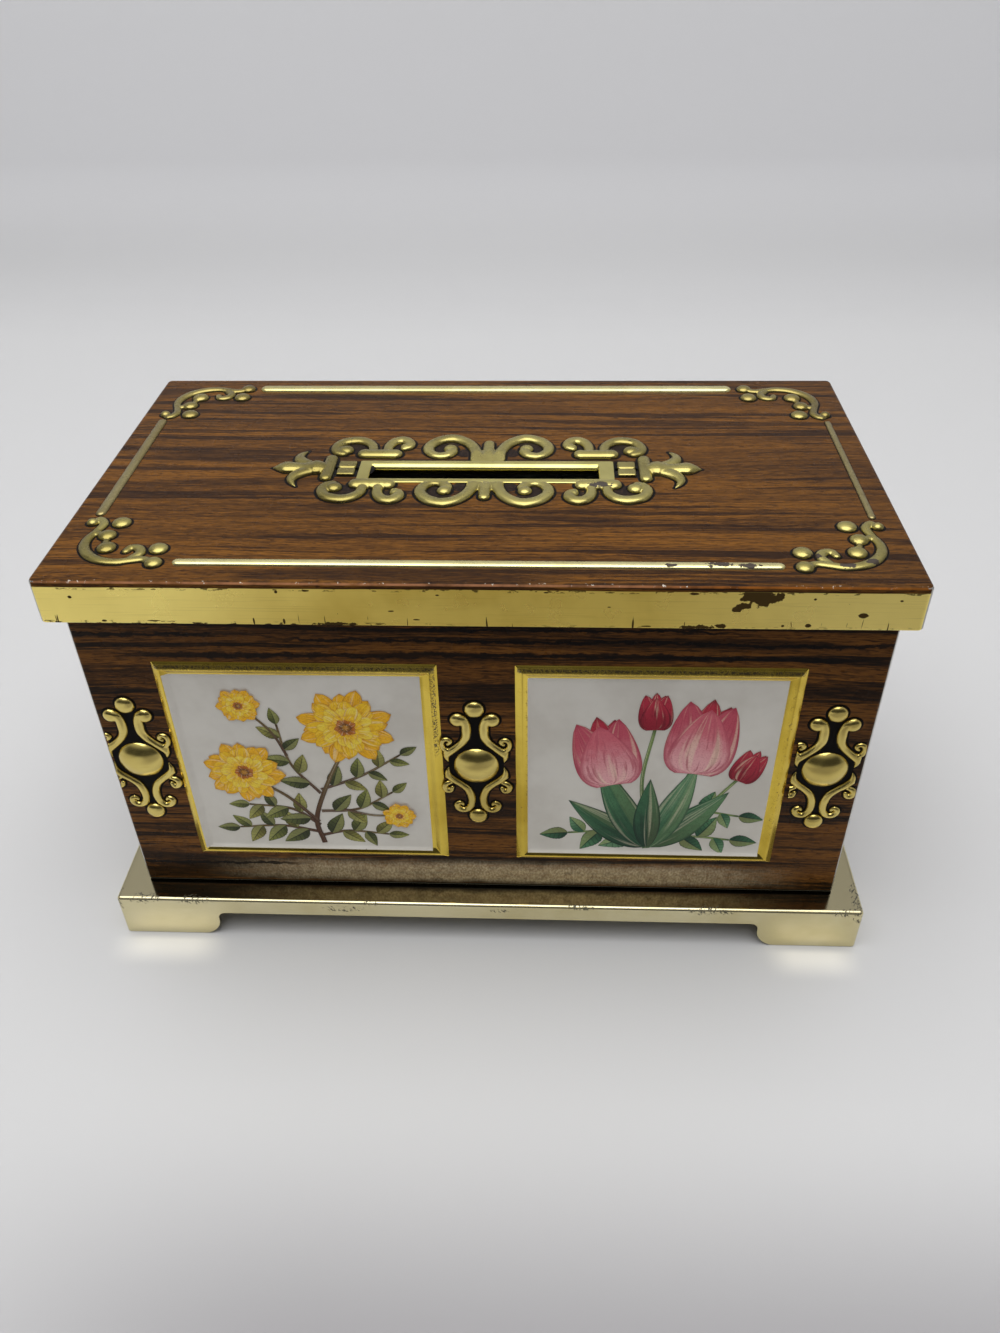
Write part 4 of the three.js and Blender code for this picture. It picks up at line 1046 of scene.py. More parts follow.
@dataclass(frozen=True)
class BodyPrint(Finish):
    """Darker wood print that runs level round the body, with a painted reflection in a low band at the front and a
    painted shadow at its foot.
    """

    def draw(self, sketch: Sketch, place) -> dict:
        """Draws the grain, the painted reflection band, the painted shadow at the foot and the varnish."""
        x, y, z = sketch.split(place)
        wood = sketch.group(
            printed_grain(),
            place=sketch.combine(sketch.math("ADD", x, y), sketch.math("ADD", z, 0.35), 0.0),
            bright=colour((126, 80, 29)),
            middle=colour((80, 49, 19)),
            dark=colour((13, 7, 4)),
            streaks=1.0,
        )
        tint = sketch.mix(speckled(sketch, place, 0.02), wood, (150, 128, 90))
        cloud = sketch.noise(place, 140.0, 3.0, 0.6)
        # Painted reflection: a pale band low on the front stands in for light thrown up off the plinth's top; there the
        # varnish is also partly metallic.
        band = sketch.window(sketch.pushed(z, cloud, 0.0018), (0.0116, 0.0136), (0.0198, 0.016))
        ends = sketch.window(x, (-0.062, -0.03), (0.068, 0.04))
        plinth_reflection = sketch.times(band, ends, sketch.range(y, -0.0374, -0.0378))
        plinth_reflection = sketch.times(plinth_reflection, sketch.range(sketch.noise(place, 700.0, 3.0, 0.6), 0.25, 0.65, 0.55, 1.0))
        mottle = sketch.noise(sketch.combine((x, 2300.0), y, (z, 1500.0)))
        reflection_tint = sketch.mix(sketch.range(mottle, 0.38, 0.64), (166, 148, 116), (202, 186, 154))
        tint = sketch.mix(sketch.times(plinth_reflection, 0.92), tint, reflection_tint)
        tint = sketch.mix(self.streaks(sketch, x, z), tint, (9, 5, 4))
        return {
            # Painted shadow: the wood turns near black below 12.1 mm, in the gap above the plinth.
            "Base Color": sketch.mix(sketch.range(z, 0.0121, 0.0117), tint, (8, 6, 5)),
            "Metallic": sketch.times(plinth_reflection, 0.4),
            "Roughness": sketch.range(cloud, 0.3, 0.7, 0.25, 0.33),
            "Specular IOR Level": 0.1,
            "Normal": sketch.bump(sketch.noise(place, 2400.0, 2.0, 0.6), 0.1, 0.00004),
        }

    def streaks(self, sketch: Sketch, x, z) -> Socket:
        """Bold dark streaks of the print, above and beside the frames."""
        wave = sketch.noise(sketch.combine((x, 26.0), 3.1, 0.0), 1.0, 3.0, 0.6)
        torn = sketch.noise(sketch.combine((x, 420.0), 1.3, (z, 900.0)), 1.0, 3.0, 0.6)
        level = sketch.pushed(sketch.pushed(z, wave, 0.0022), torn, 0.0018)
        found = []
        for height, start, end, thick in (
            (0.0722, -0.058, -0.012, 0.00085), (0.0727, -0.014, 0.062, 0.0007), (0.0757, -0.03, 0.074, 0.00045),
            (0.0768, -0.074, -0.05, 0.0005), (0.0782, -0.01, 0.04, 0.0004), (0.0172, -0.075, -0.045, 0.0005),
        ):
            line = sketch.range(sketch.apart(level, height), thick, thick * 0.4, 0.0, 0.9)
            found.append(sketch.times(line, sketch.window(x, (start - 0.012, start), (end + 0.012, end))))
        return sketch.strongest(found)


@dataclass(frozen=True)
class ReliefGold(Finish):
    """Gold of the embossed ornament, with dull clouds, small worn spots, flakes, and painted shade with wear that
    darkens it along one axis.
    """

    bright: tuple
    dull: tuple
    amount: float
    low: float
    high: float
    shade_and_wear: tuple = ()
    flakes: tuple = ()

    def draw(self, sketch: Sketch, place) -> dict:
        """Draws the gold, its painted shade, its specks and its flakes."""
        tint = gold_colour(sketch, place, self.bright, self.dull)
        # Painted shade, with wear: the gold is darkened along an axis, towards the back or towards the ends.
        for axis, start, end, share in self.shade_and_wear:
            away = sketch.split(place)[axis]
            away = away if axis else sketch.math("ABSOLUTE", away)
            tint = sketch.mix(sketch.range(away, start, end, 0.0, share), tint, (112, 92, 52))
        bare = sketch.strongest([*flaked(sketch, place, self.flakes), speckled(sketch, place, self.amount)])
        rough = sketch.range(sketch.noise(place, 400.0, 3.0, 0.6), 0.3, 0.7, self.low, self.high)
        return {
            "Base Color": sketch.mix(bare, tint, (52, 40, 26)),
            "Metallic": sketch.rest(bare),
            "Roughness": sketch.blend(bare, rough, 0.6),
            "Normal": sketch.bump(sketch.noise(place, 1300.0, 2.0, 0.6), 0.04, 0.00003),
        }


@dataclass(frozen=True)
class FramePrint(Finish):
    """A picture frame in gold and a white field, printed a little out of place over the pressed moulding."""

    left: float = -57.9
    right: float = -10.7
    low: float = 22.2
    high: float = 67.8
    wear_and_sheen: tuple = ()

    def draw(self, sketch: Sketch, place) -> dict:
        """Draws the white field, the gold round it and their wear."""
        x, y, z = sketch.split(place)
        soft = 0.00008
        left, right, low, high = (edge * MM for edge in (self.left, self.right, self.low, self.high))
        sides = sketch.window(x, (left - soft, left + soft), (right + soft, right - soft))
        white = sketch.times(sides, sketch.window(z, (low - soft, low + soft), (high + soft, high - soft)))
        cloud = sketch.noise(place, 70.0, 4.0, 0.6)
        paper = sketch.mix(sketch.range(cloud, 0.35, 0.7), (226, 222, 212), (212, 207, 196))
        gold = gold_colour(sketch, place, (230, 202, 88), (192, 162, 56))
        crumbs = sketch.noise(place, 2600.0, 4.0, 0.7)
        masks = [speckled(sketch, place, 0.1)]
        # Dense dark specks along the top of the moulding, between 69.0 and 69.6 mm.
        masks.append(sketch.times(sketch.range(z, 0.0690, 0.0696), sketch.range(crumbs, 0.36, 0.54)))
        for edge, foot, top, dense in self.wear_and_sheen:
            near = sketch.range(sketch.apart(x, edge * MM), 0.0006, 0.0003)
            strip = sketch.times(near, sketch.range(z, (foot - 4) * MM, foot * MM))
            strip = sketch.times(strip, sketch.range(z, (top + 2) * MM, top * MM))
            masks.append(sketch.times(strip, sketch.range(crumbs, dense, dense + 0.05)))
        bare = sketch.times(sketch.strongest(masks), sketch.range(y, -0.03815, -0.0384))
        return {
            "Base Color": sketch.mix(bare, sketch.mix(white, gold, paper), (66, 56, 33)),
            "Metallic": sketch.times(sketch.rest(white), sketch.rest(bare)),
            "Roughness": sketch.blend(white, 0.17, sketch.range(cloud, 0.3, 0.7, 0.3, 0.42)),
            "Normal": sketch.bump(sketch.noise(place, 1500.0, 2.0, 0.6), 0.06, 0.00005),
        }


@dataclass(frozen=True)
class PaleGold(Finish):
    """Pale gold lacquer of the plinth, with rubbed edges and scratches, and a painted reflection that darkens its flat
    top.
    """

    zones: tuple = (
        (-72.5, -43, 10.6, 3.4, 1.0, 1.5, 1.8), (-62.5, -43, 10.6, 4.2, 0.9, 1.5, 1.4),
        (-30.0, -43.3, 9.2, 4.8, 0.9, 1.5, 1.0), (-24.0, -43, 10.7, 1.6, 0.5, 1.2, 0.8),
        (47.0, -43, 10.3, 5.0, 0.9, 1.2, 1.4), (77.5, -40, 9.5, 1.6, 2.4, 1.2, 6.0),
        (3.0, -43, 9.4, 2.0, 0.6, 1.2, 1.0), (-77.9, -41.5, 9.0, 0.9, 2.2, 1.2, 2.6),
        (74.5, -43, 10.4, 2.6, 0.8, 1.4, 1.4), (20.0, -43, 10.6, 2.8, 0.5, 1.4, 0.8),
    )

    def draw(self, sketch: Sketch, place) -> dict:
        """Draws the lacquer, its scratches, its dark flecks and the painted reflection on its top."""
        x, y, z = sketch.split(place)
        tint = gold_colour(sketch, place, (226, 216, 176), (210, 198, 152))
        slant = sketch.math("ADD", x, sketch.times(sketch.less(z, y), 0.6))
        spot = sketch.combine((slant, 1900.0), (y, 900.0), (z, 900.0))
        scratch = sketch.range(sketch.noise(spot, 1.0, 3.0, 0.65), 0.52, 0.58)
        dark = sketch.times(scratch, sketch.strongest(flaked(sketch, place, self.zones)), 0.85)
        # Painted reflection: the flat top is greyer and darker, as the dark wood above it mirrors in it; it is also
        # smoother.
        flat = sketch.range(z, 0.01085, 0.01098)
        tint = sketch.mix(sketch.times(flat, 0.9), tint, (150, 142, 114))
        cloud = sketch.noise(place, 180.0, 3.0, 0.6)
        rough = sketch.blend(flat, sketch.range(cloud, 0.3, 0.7, 0.18, 0.26), sketch.range(cloud, 0.3, 0.7, 0.05, 0.12))
        return {
            "Base Color": sketch.mix(dark, tint, (46, 48, 42)),
            "Metallic": sketch.rest(sketch.times(dark, 0.8)),
            "Roughness": sketch.blend(dark, rough, 0.5),
            "Normal": sketch.bump(sketch.noise(place, 900.0, 2.0, 0.6), 0.08, 0.00005),
        }


@dataclass(frozen=True)
class InkGround(Finish):
    """Black printing ink round and between the relief, with brown showing through."""

    ink: tuple
    brown: tuple
    through: float = 0.2
    gloss: float = 0.05

    def draw(self, sketch: Sketch, place) -> dict:
        """Draws the ink with its mottling."""
        mottle = sketch.range(sketch.noise(place, 1900.0, 3.0, 0.6), 0.5, 0.66, 0.0, self.through)
        return {
            "Base Color": sketch.mix(mottle, self.ink, self.brown),
            "Roughness": sketch.range(sketch.noise(place, 300.0), 0.3, 0.7, 0.3, 0.42),
            "Specular IOR Level": self.gloss,
        }


@dataclass(frozen=True)
class BareMetal(Finish):
    """Plain rolled or drawn metal."""

    bright: tuple = (206, 205, 198)
    dull: tuple = (168, 166, 158)
    low: float = 0.26
    high: float = 0.44

    def draw(self, sketch: Sketch, place) -> dict:
        """Draws the metal with clouds, fine lines and specks."""
        tint = gold_colour(sketch, place, self.bright, self.dull)
        return {
            "Base Color": sketch.mix(speckled(sketch, place, 0.03), tint, (84, 76, 66)),
            "Metallic": 1.0,
            "Roughness": sketch.range(sketch.noise(place, 260.0, 3.0, 0.6), 0.3, 0.7, self.low, self.high),
            "Normal": sketch.bump(sketch.noise(place, 1800.0, 2.0, 0.6), 0.1, 0.00004),
        }


@dataclass(frozen=True)
class FlowerInk(Finish):
    """Printing inks of the flower prints: washes, veins and outlines of each petal and leaf."""

    def draw(self, sketch: Sketch, place) -> dict:
        """Draws the inks along and across each form."""
        across, along = sketch.split(sketch.add("ShaderNodeUVMap").outputs[0])[:2]
        paints = [sketch.add("ShaderNodeVertexColor", layer_name=name).outputs for name in ("base", "tip", "line")]
        (base, seed), (tip, ribs), (line, rim) = paints
        side = sketch.apart(sketch.times(across, 2.0), 1.0)
        cloud = sketch.noise(place, 520.0, 4.0, 0.65)
        tint = sketch.mix(sketch.range(sketch.pushed(along, cloud, 0.5), 0.08, 0.85), base, tip)
        spot = sketch.combine((across, 13.0), (along, 1.6), (seed, 40.0))
        vein = sketch.range(sketch.noise(spot, 1.0, 3.0, 0.6), 0.5, 0.62, 0.0, 0.6)
        vein = sketch.times(vein, sketch.range(along, 1.0, 0.3, 0.2, 1.0))
        plain = sketch.rest(ribs)
        wave = sketch.math("SINE", sketch.times(sketch.less(side, sketch.times(along, 6.5)), 6.2832))
        branch = sketch.times(sketch.range(wave, 0.55, 0.95, 0.0, 0.55), ribs)
        spine = sketch.times(sketch.range(side, 0.09, 0.03), ribs)
        tint = sketch.mix(sketch.strongest([sketch.times(vein, plain), branch, spine]), tint, line)
        tint = sketch.mix(sketch.times(sketch.range(across, 0.5, 0.58, 0.0, 0.3), ribs), tint, (206, 206, 128))
        shine = sketch.times(sketch.range(sketch.noise(spot, 0.6), 0.52, 0.68, 0.0, 0.4), plain)
        tint = sketch.mix(shine, tint, (250, 240, 206))
        edge = sketch.strongest([sketch.range(side, 0.8, 0.97), sketch.range(along, 0.9, 0.99)])
        tint = sketch.mix(sketch.times(edge, rim), tint, line)
        stipple = sketch.range(sketch.noise(place, 3000.0), 0.5, 0.66, 0.0, 0.25)
        return {
            "Base Color": sketch.mix(stipple, tint, line),
            "Roughness": sketch.range(cloud, 0.3, 0.7, 0.32, 0.42),
            "Specular IOR Level": 0.25,
        }


LID_PRINT = LidPrint("lid_print")
BODY_PRINT = BodyPrint("body_print")
LID_RELIEF = ReliefGold(
    "lid_relief_gold",
    bright=(180, 169, 104),
    dull=(134, 122, 68),
    amount=0.1,
    low=0.24,
    high=0.34,
    # Painted shade: the relief is darker towards the back.
    shade_and_wear=((1, 0.0, 0.032, 0.45),),
    flakes=(
        (61.8, -35.9, 91.0, 1.5, 1.2, 2.6, 0.8), (66.4, -34.9, 91.0, 1.3, 1.2, 2.4, 0.8),
        (57.4, -33.0, 91.0, 0.9, 1.2, 2.4, 0.7), (21.8, -8.6, 91.2, 2.6, 1.2, 3.0, 0.6),
        (-6.0, -13.2, 91.0, 1.2, 1.2, 3.0, 0.5),
    ),
)
PLATE_GOLD = ReliefGold("slot_plate_gold", bright=(210, 200, 124), dull=(176, 164, 94), amount=0.04, low=0.1, high=0.18)
LINE_GOLD = ReliefGold(
    "edge_line_gold",
    bright=(228, 220, 162),
    dull=(198, 186, 126),
    amount=0.09,
    low=0.24,
    high=0.34,
    # Painted shade and wear: the side lines are darker.
    shade_and_wear=((0, 0.064, 0.066, 0.7),),
    flakes=(
        (41.0, -36, 90.8, 2.6, 0.5, 2.6, 0.8), (45.5, -36.3, 90.8, 2.2, 0.5, 2.4, 0.6),
        (33.0, -36.4, 90.8, 1.4, 0.5, 3.0, 0.4), (60.5, -36.5, 90.9, 1.0, 0.5, 2.0, 0.6),
    ),
)
CREST_GOLD = ReliefGold("crest_gold", bright=(222, 202, 120), dull=(184, 162, 86), amount=0.06, low=0.17, high=0.24)
INK = InkGround("ink_ground", ink=(9, 7, 6), brown=(40, 26, 17), gloss=0.06)
LID_INK = InkGround("lid_ink_outline", ink=(11, 9, 8), brown=(44, 29, 20))
LID_HOLLOW = InkGround("lid_ink_hollow", ink=(30, 22, 19), brown=(62, 45, 34), through=0.8)
TIN = BareMetal("bare_tin")
BRASS = BareMetal("hinge_brass_plate", bright=(206, 178, 96), dull=(166, 138, 68))
STEEL = BareMetal("pin_wire_steel", bright=(176, 176, 178), dull=(132, 132, 134), low=0.3, high=0.45)
RIVET = BareMetal("rivet_tinned_steel", bright=(214, 212, 206), dull=(176, 174, 166))
PLINTH_GOLD = PaleGold("plinth_pale_gold")
FLOWER_INK = FlowerInk("flower_inks")
LEFT_FRAME = FramePrint(
    "left_frame_print",
    wear_and_sheen=((-8.35, 52.0, 68.5, 0.5), (-11.2, 50.0, 68.0, 0.6), (-56.4, 30.0, 66.0, 0.62)),
)
RIGHT_FRAME = FramePrint(
    "right_frame_print",
    left=8.9,
    right=55.7,
    wear_and_sheen=((9.1, 40.0, 67.0, 0.55), (57.0, 30.0, 66.0, 0.6)),
)


def dress(piece: Piece, body: str, slot: str, *finishes: Finish) -> Piece:
    """Gives a finished piece its materials and its body.

    Args:
        piece: The object.
        body: The body that it moves with.
        slot: Not used.
        *finishes: Its finishes, in the order of its material indices.

    Returns:
        The same object.
    """
    settle(piece)
    if len(piece.data.materials) == 0:
        for finish in finishes:
            piece.data.materials.append(finish.material())
    else:
        for index, finish in enumerate(finishes):
            piece.data.materials[index] = finish.material()
    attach(piece, body)
    LOG.info("piece %s: %d faces on %s", piece.name, len(piece.data.polygons), body)
    return piece


def mark_faces(piece: Piece, is_inner) -> None:
    """Gives the faces that a test picks the second material."""
    while len(piece.data.materials) < 2:
        piece.data.materials.append(None)
    for face in piece.data.polygons:
        face.material_index = 1 if is_inner(face.center, face.normal) else 0


# Sub-assemblies
@dataclass
class Lid:
    """The lid: its folded sheet, the relief on it and the ink round the relief."""

    layout: Layout = LAYOUT
    plate_half: tuple = (24.8, 4.45)
    scroll_root: float = 3.95

    def build(self) -> None:
        """Builds every piece of the lid."""
        self.sheet()
        self.slot_plate()
        self.crown()
        self.corners()
        self.lines()

    def sheet(self) -> None:
        """Folds the lid's sheet, hems its skirt and cuts the slot's opening."""
        size = self.layout
        top, low, wall = size.lid_top, size.skirt_foot, size.sheet
        hem = low + size.hem_height
        fold, inner = size.lid_fold, size.lid_fold - wall
        shell = [(-2 * wall, hem), (-2 * wall, low + wall)]
        shell += arc_rows(-wall, low + wall, wall, 180, 360, 6)
        shell += arc_rows(-fold, top - fold, fold, 0, 90, 6)
        lining = [(-2 * wall, hem), (-wall, hem)]
        lining += arc_rows(-wall - inner, top - wall - inner, inner, 0, 90, 5)
        lid = folded("lid_sheet", (size.lid_half_x, size.lid_half_y, size.lid_corner), shell, lining)
        x, y = size.slot_x, size.slot_y
        half_x, half_y = size.slot_half_x + 1.0, size.slot_half_y + 1.0
        cutter = add_block((x - half_x, y - half_y, top - 3), (x + half_x, y + half_y, top + 3), 0)
        cut_with(lid, cutter)
        smoothed(lid)
        edge_x, edge_y = (size.lid_half_x - 0.5 * wall) * MM, (size.lid_half_y - 0.5 * wall) * MM
        mark_faces(lid, lambda c, n: abs(c.x) < edge_x and abs(c.y) < edge_y and c.z < (top - 0.6 * wall) * MM)
        dress(lid, "lid", "printed_tin", LID_PRINT, TIN)
        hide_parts("lid_shell")

    def slot_plate(self) -> None:
        """Presses the flat plate round the coin slot, with its rounded lip and turned-down edge."""
        size = self.layout
        top = size.lid_top
        face = top + 0.26

        def outer(out: float, height: float) -> Ring:
            """A level of the plate's outer edge."""
            half_x, half_y = self.plate_half
            return Ring(half_x + out, half_y + out, 0.25, height, size.plate_x, size.plate_y)

        def inner(out: float, height: float, more: float = 0.0) -> Ring:
            """A level of the slot's edge, which may lie further out at the back."""
            half_y = size.slot_half_y + out + more / 2
            return Ring(size.slot_half_x + out, half_y, 0.4, height, size.slot_x, size.slot_y + more / 2)

        def lip(drop: float) -> Ring:
            """A level of the slot's rounded edge, softer at the back than at the front."""
            front, back = (radius - math.sqrt(radius**2 - max(0.0, radius - drop) ** 2) for radius in (0.5, 1.25))
            return inner(front, face - drop, back - front)

        rings = [outer(0, top - 0.05), outer(0, top + 0.12), outer(-0.1, top + 0.22), outer(-0.25, face)]
        rings += [lip(drop) for drop in (0, 0.015, 0.05, 0.11, 0.2, 0.32, 0.48, 0.7, 0.95, 1.25)]
        rings += [inner(0, top - 1.5), inner(0.35, top - 1.5), inner(0.35, top - 0.6), inner(0.6, top - 0.45)]
        plate = draw_rings("slot_plate", rings, Ends.CLOSED_ROUND)
        smoothed(plate, 50)
        dress(plate, "lid", "printed_tin", PLATE_GOLD)

    def crown_quarter(self, relief: Relief) -> list:
        """The scrolls and bars of one quarter of the crown."""
        pieces = [relief.stroke(VOLUTE, 48), relief.bead(*VOLUTE_EYE), relief.stroke(INNER_SCROLL, 26)]
        pieces += [relief.bead(*INNER_EYE), relief.stroke(OUTER_SCROLL, 34), relief.bead(*OUTER_EYE)]
        pieces += [relief.stroke(LONG_BAR, 12), relief.stroke(LILY_PETAL, 22), relief.slab(*BRIDGE, 0.5)]
        pieces += [relief.bead(*lobe) for lobe in LONG_BAR_LOBES]
        return pieces

    def crown(self) -> None:
        """Embosses the scroll ornament round the coin slot and prints the ink round it."""
        relief = Relief(lift=0.8, widest=1.35, fullness=3.0, edge=0.65)
        outline = flat_ink(0.06, 1.35, 0.52)
        for name, form, finish in (("crown_relief", relief, LID_RELIEF), ("crown_outline", outline, LID_INK)):
            quarter = mirrored(joined(self.crown_quarter(form), name), True, True)
            sides = joined([form.stroke(CROSS_BAR, 12), form.stroke(LILY_HEART, 28)], name + "_sides")
            stem = mirrored(joined([form.stroke(STEM, 12)], name + "_stem"), False, True)
            parts = [quarter, mirrored(sides, True, False), stem]
            if form.spread > 0:
                neck = flat_ink(0.06, 3.4).stroke([(25.0, 0, 3.4), (33.0, 0, 3.0)], 6)
                parts.append(mirrored(joined([neck], name + "_neck"), True, False))
            whole = joined(parts, name)
            self.set_crown(fused(whole, 0.15, 3, 0.55) if form.spread == 0 else whole, finish)
        hollow = flat_ink(0.035, 2.4)
        spots = (
            (9.4, 9.0, 2.5), (4.6, 7.0, 1.7), (17.4, 9.9, 1.7), (26.6, 8.6, 2.3), (24.6, 8.4, 1.2), (7.0, 11.2, 1.4),
        )
        forms = [hollow.bead(x, y, radius, 0.035) for x, y, radius in spots]
        self.set_crown(mirrored(joined(forms, "crown_hollows"), True, True), LID_HOLLOW)

    def set_crown(self, piece: Piece, finish: Finish) -> None:
        """Sets a layer of the crown on the lid, bowed towards its ends, with its middle tucked under the plate."""
        size = self.layout
        shift = size.crown_y - size.plate_y
        bow, half_length, middle_half, stem_half, longer_left = 0.35, 41, 15, 5, 1.012
        for vert in piece.data.vertices:
            vert.co.y += bow * MM * (vert.co.x / (half_length * MM)) ** 2
            if abs(vert.co.x) < middle_half * MM:
                level = vert.co.y / MM + shift
                vert.co.y = (math.copysign(max(abs(level), self.scroll_root), level) - shift) * MM
                back = 0.15 * (level - self.scroll_root) + 0.4 * max(0.0, abs(vert.co.x) / MM - stem_half)
                rise = back if level > 0 else 0.9 * max(0.0, -level - self.plate_half[1])
                vert.co.z = min(vert.co.z, (0.2 + max(0.0, rise)) * MM)
            if vert.co.x < 0:
                vert.co.x *= longer_left
        piece.location = (size.crown_x * MM, size.crown_y * MM, size.lid_top * MM)
        smoothed(piece, 60)
        dress(piece, "lid", "printed_tin", finish)

    def corners(self) -> None:
        """Embosses the four corner scrolls and prints the ink round them."""
        size = self.layout
        relief = Relief(lift=0.6, widest=1.1)
        ink = flat_ink(0.05, 1.1, 0.38)
        for name, form, finish in (("corner_relief", relief, LID_RELIEF), ("corner_ink", ink, LID_INK)):
            pieces = [form.stroke(CORNER_SCROLL, 54), form.stroke(CORNER_STUB, 8), form.stroke(CORNER_COMMA, 22)]
            pieces.append(form.stroke(CORNER_STALK, 8))
            pieces += [form.bead(*place, form.tall(0.85)) for place in CORNER_BEADS]
            corner = joined(pieces, name)
            if form.spread == 0:
                fused(corner, 0.13, 3, 0.7)
            corner.location = (-size.lid_half_x * MM, -size.lid_half_y * MM, size.lid_top * MM)
            mirrored(settle(corner), True, True)
            smoothed(corner, 60)
            dress(corner, "lid", "printed_tin", finish)

    def lines(self) -> None:
        """Embosses the raised lines between the corner scrolls and prints the ink beside them."""
        size = self.layout
        places = (
            ([(-50.8, -36.0, 1.02), (50.8, -36.0, 1.02)], 60), ([(-50.8, 36.3, 1.4), (50.8, 36.3, 1.4)], 60),
            ([(-69.75, -19.4, 0.95), (-69.75, 19.4, 0.95)], 30), ([(69.9, -19.4, 0.65), (69.9, 19.4, 0.65)], 30),
        )
        relief = Relief(lift=0.5, widest=1.05, fullness=3.2, edge=0.6)
        ink = flat_ink(0.04, 1.05, 0.24, 2)
        kinds = (("edge_lines", relief, LINE_GOLD, places), ("edge_line_ink", ink, LID_INK, places[2:]))
        for name, form, finish, chosen in kinds:
            lines = joined([form.stroke(line, count) for line, count in chosen], name)
            lines.location.z = size.lid_top * MM
            smoothed(lines, 60)
            dress(lines, "lid", "printed_tin", finish)


@dataclass
class Body:
    """The body: its wrapped sheet, its seam, its crests and the ink under them."""

    layout: Layout = LAYOUT
    crest_places: tuple = ((-66.575, 0.0), (-1.0, 0.35), (65.375, 0.0))
    crest_middle: float = 46.3
    print_end: float = 71.95
    frame_end: float = 59.35

    def build(self) -> None:
        """Builds every piece of the body."""
        self.sheet()
        self.crests()

    def sheet(self) -> None:
        """Wraps the four walls with their curled rim and turned-in foot, and adds the seam."""
        size = self.layout
        foot, top, wall = size.body_foot, size.rim_top, size.sheet
        curl, inner = 0.75, 0.4
        curl_out, curl_height = -wall + curl, top - curl
        rows = [(-3.2, foot)] + arc_rows(-0.6, foot + 0.6, 0.6, -90, 0, 5)
        rows += [(0, curl_height)] + arc_rows(curl_out, curl_height, inner, 165, -100, 14)
        rows += arc_rows(curl_out, curl_height, curl, -100, 180, 18)
        rows += arc_rows(-wall - 0.25, foot + wall + 0.25, 0.25, 0, -90, 3) + [(-3.2, foot + wall)]
        outline = (size.body_half_x, size.body_half_y, size.body_corner)
        body = draw_rings("body_sheet", rings_of(outline, rows), Ends.CLOSED_ROUND)
        smoothed(body)
        edge_x, edge_y = (size.body_half_x - 0.5 * wall) * MM, (size.body_half_y - 0.5 * wall) * MM
        floor_level = (foot + 0.8) * MM
        mark_faces(body, lambda c, n: abs(c.x) < edge_x and abs(c.y) < edge_y and (c.z > floor_level or n.z > 0.5))
        dress(body, "body", "printed_tin", BODY_PRINT, TIN)
        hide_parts("body_wrap")
        back = size.body_half_y - wall
        seam = add_block((-2.25, back - 0.7, 15.0), (2.25, back + 0.1, top - 1.4), 0.16)
        seam.name = "body_seam"
        smoothed(seam)
        dress(seam, "body", "printed_tin", TIN)

    def crest(self, form: Relief) -> list:
        """The strokes and beads of one crest, on the plane z = 0."""
        half = [form.stroke(CREST_UPPER, 36), form.stroke(CREST_LOWER, 48)]
        half += [form.stroke(CREST_UPPER_CURL, 26), form.stroke(CREST_LOWER_CURL, 22)]
        half.append(form.bead(*CREST_HEAD, form.tall(1.0)))
        half += [form.bead(*place, form.tall(0.6)) for place in CREST_NOTCHES]
        pieces = [mirrored(joined(half, "crest_half"), True, False)]
        pieces += [form.bead(*place, form.tall(1.05)) for place in CREST_DROPS]
        if form.spread > 0:
            pieces.append(flat_ink(0.05, 5.7).stroke(CREST_GROUND, 40))
        return pieces

    def boss(self) -> Piece:
        """The domed boss in a crest's middle, with a steep rim."""
        radius, lift, sink = 4.4 * MM, 1.95 * MM, 0.25 * MM
        dome = settle(added(bpy.ops.mesh.primitive_uv_sphere_add, segments=64, ring_count=48, radius=radius))
        for vert in dome.data.vertices:
            share = min(1.0, math.hypot(vert.co.x, vert.co.y) / radius)
            vert.co.z = lift * (1 - share**2.1) ** 0.8 if vert.co.z > 0 else -sink
        return dome

    def crests(self) -> None:
        """Embosses the three crests, cut off at the body's edge and at the frames."""
        relief = Relief(lift=0.95, widest=1.05, fullness=2.0, edge=0.62)
        ink = flat_ink(0.05, 1.0, 0.38)
        boss = self.boss()
        for name, form, finish in (("crest_relief", relief, CREST_GOLD), ("crest_ink", ink, INK)):
            pattern = joined(self.crest(form), name + "_pattern")
            if form.spread == 0:
                fused(pattern, 0.1, 3, 0.4)
            made = []
            for place, drop in self.crest_places:
                one = duplicated(pattern)
                if form.spread == 0:
                    dome = duplicated(boss)
                    dome.location.y = -drop * MM
                    one = joined([one, settle(dome)], name)
                stood_up(one, place, self.crest_middle)
                self.trim(one, self.frame_end if place > 0 else -self.print_end, self.print_end)
                made.append(one)
            bpy.data.objects.remove(pattern, do_unlink=True)
            whole = joined(made, name)
            smoothed(whole, 60)
            dress(whole, "body", "printed_tin", finish)
        bpy.data.objects.remove(boss, do_unlink=True)

    def trim(self, piece: Piece, low: float, high: float) -> None:
        """Cuts a piece off outside two places along x and closes the cuts."""
        for place, side in ((low, 1), (high, -1)):
            with whole_mesh(piece):
                bpy.ops.mesh.bisect(plane_co=(place * MM, 0, 0), plane_no=(side, 0, 0), use_fill=True, clear_inner=True)


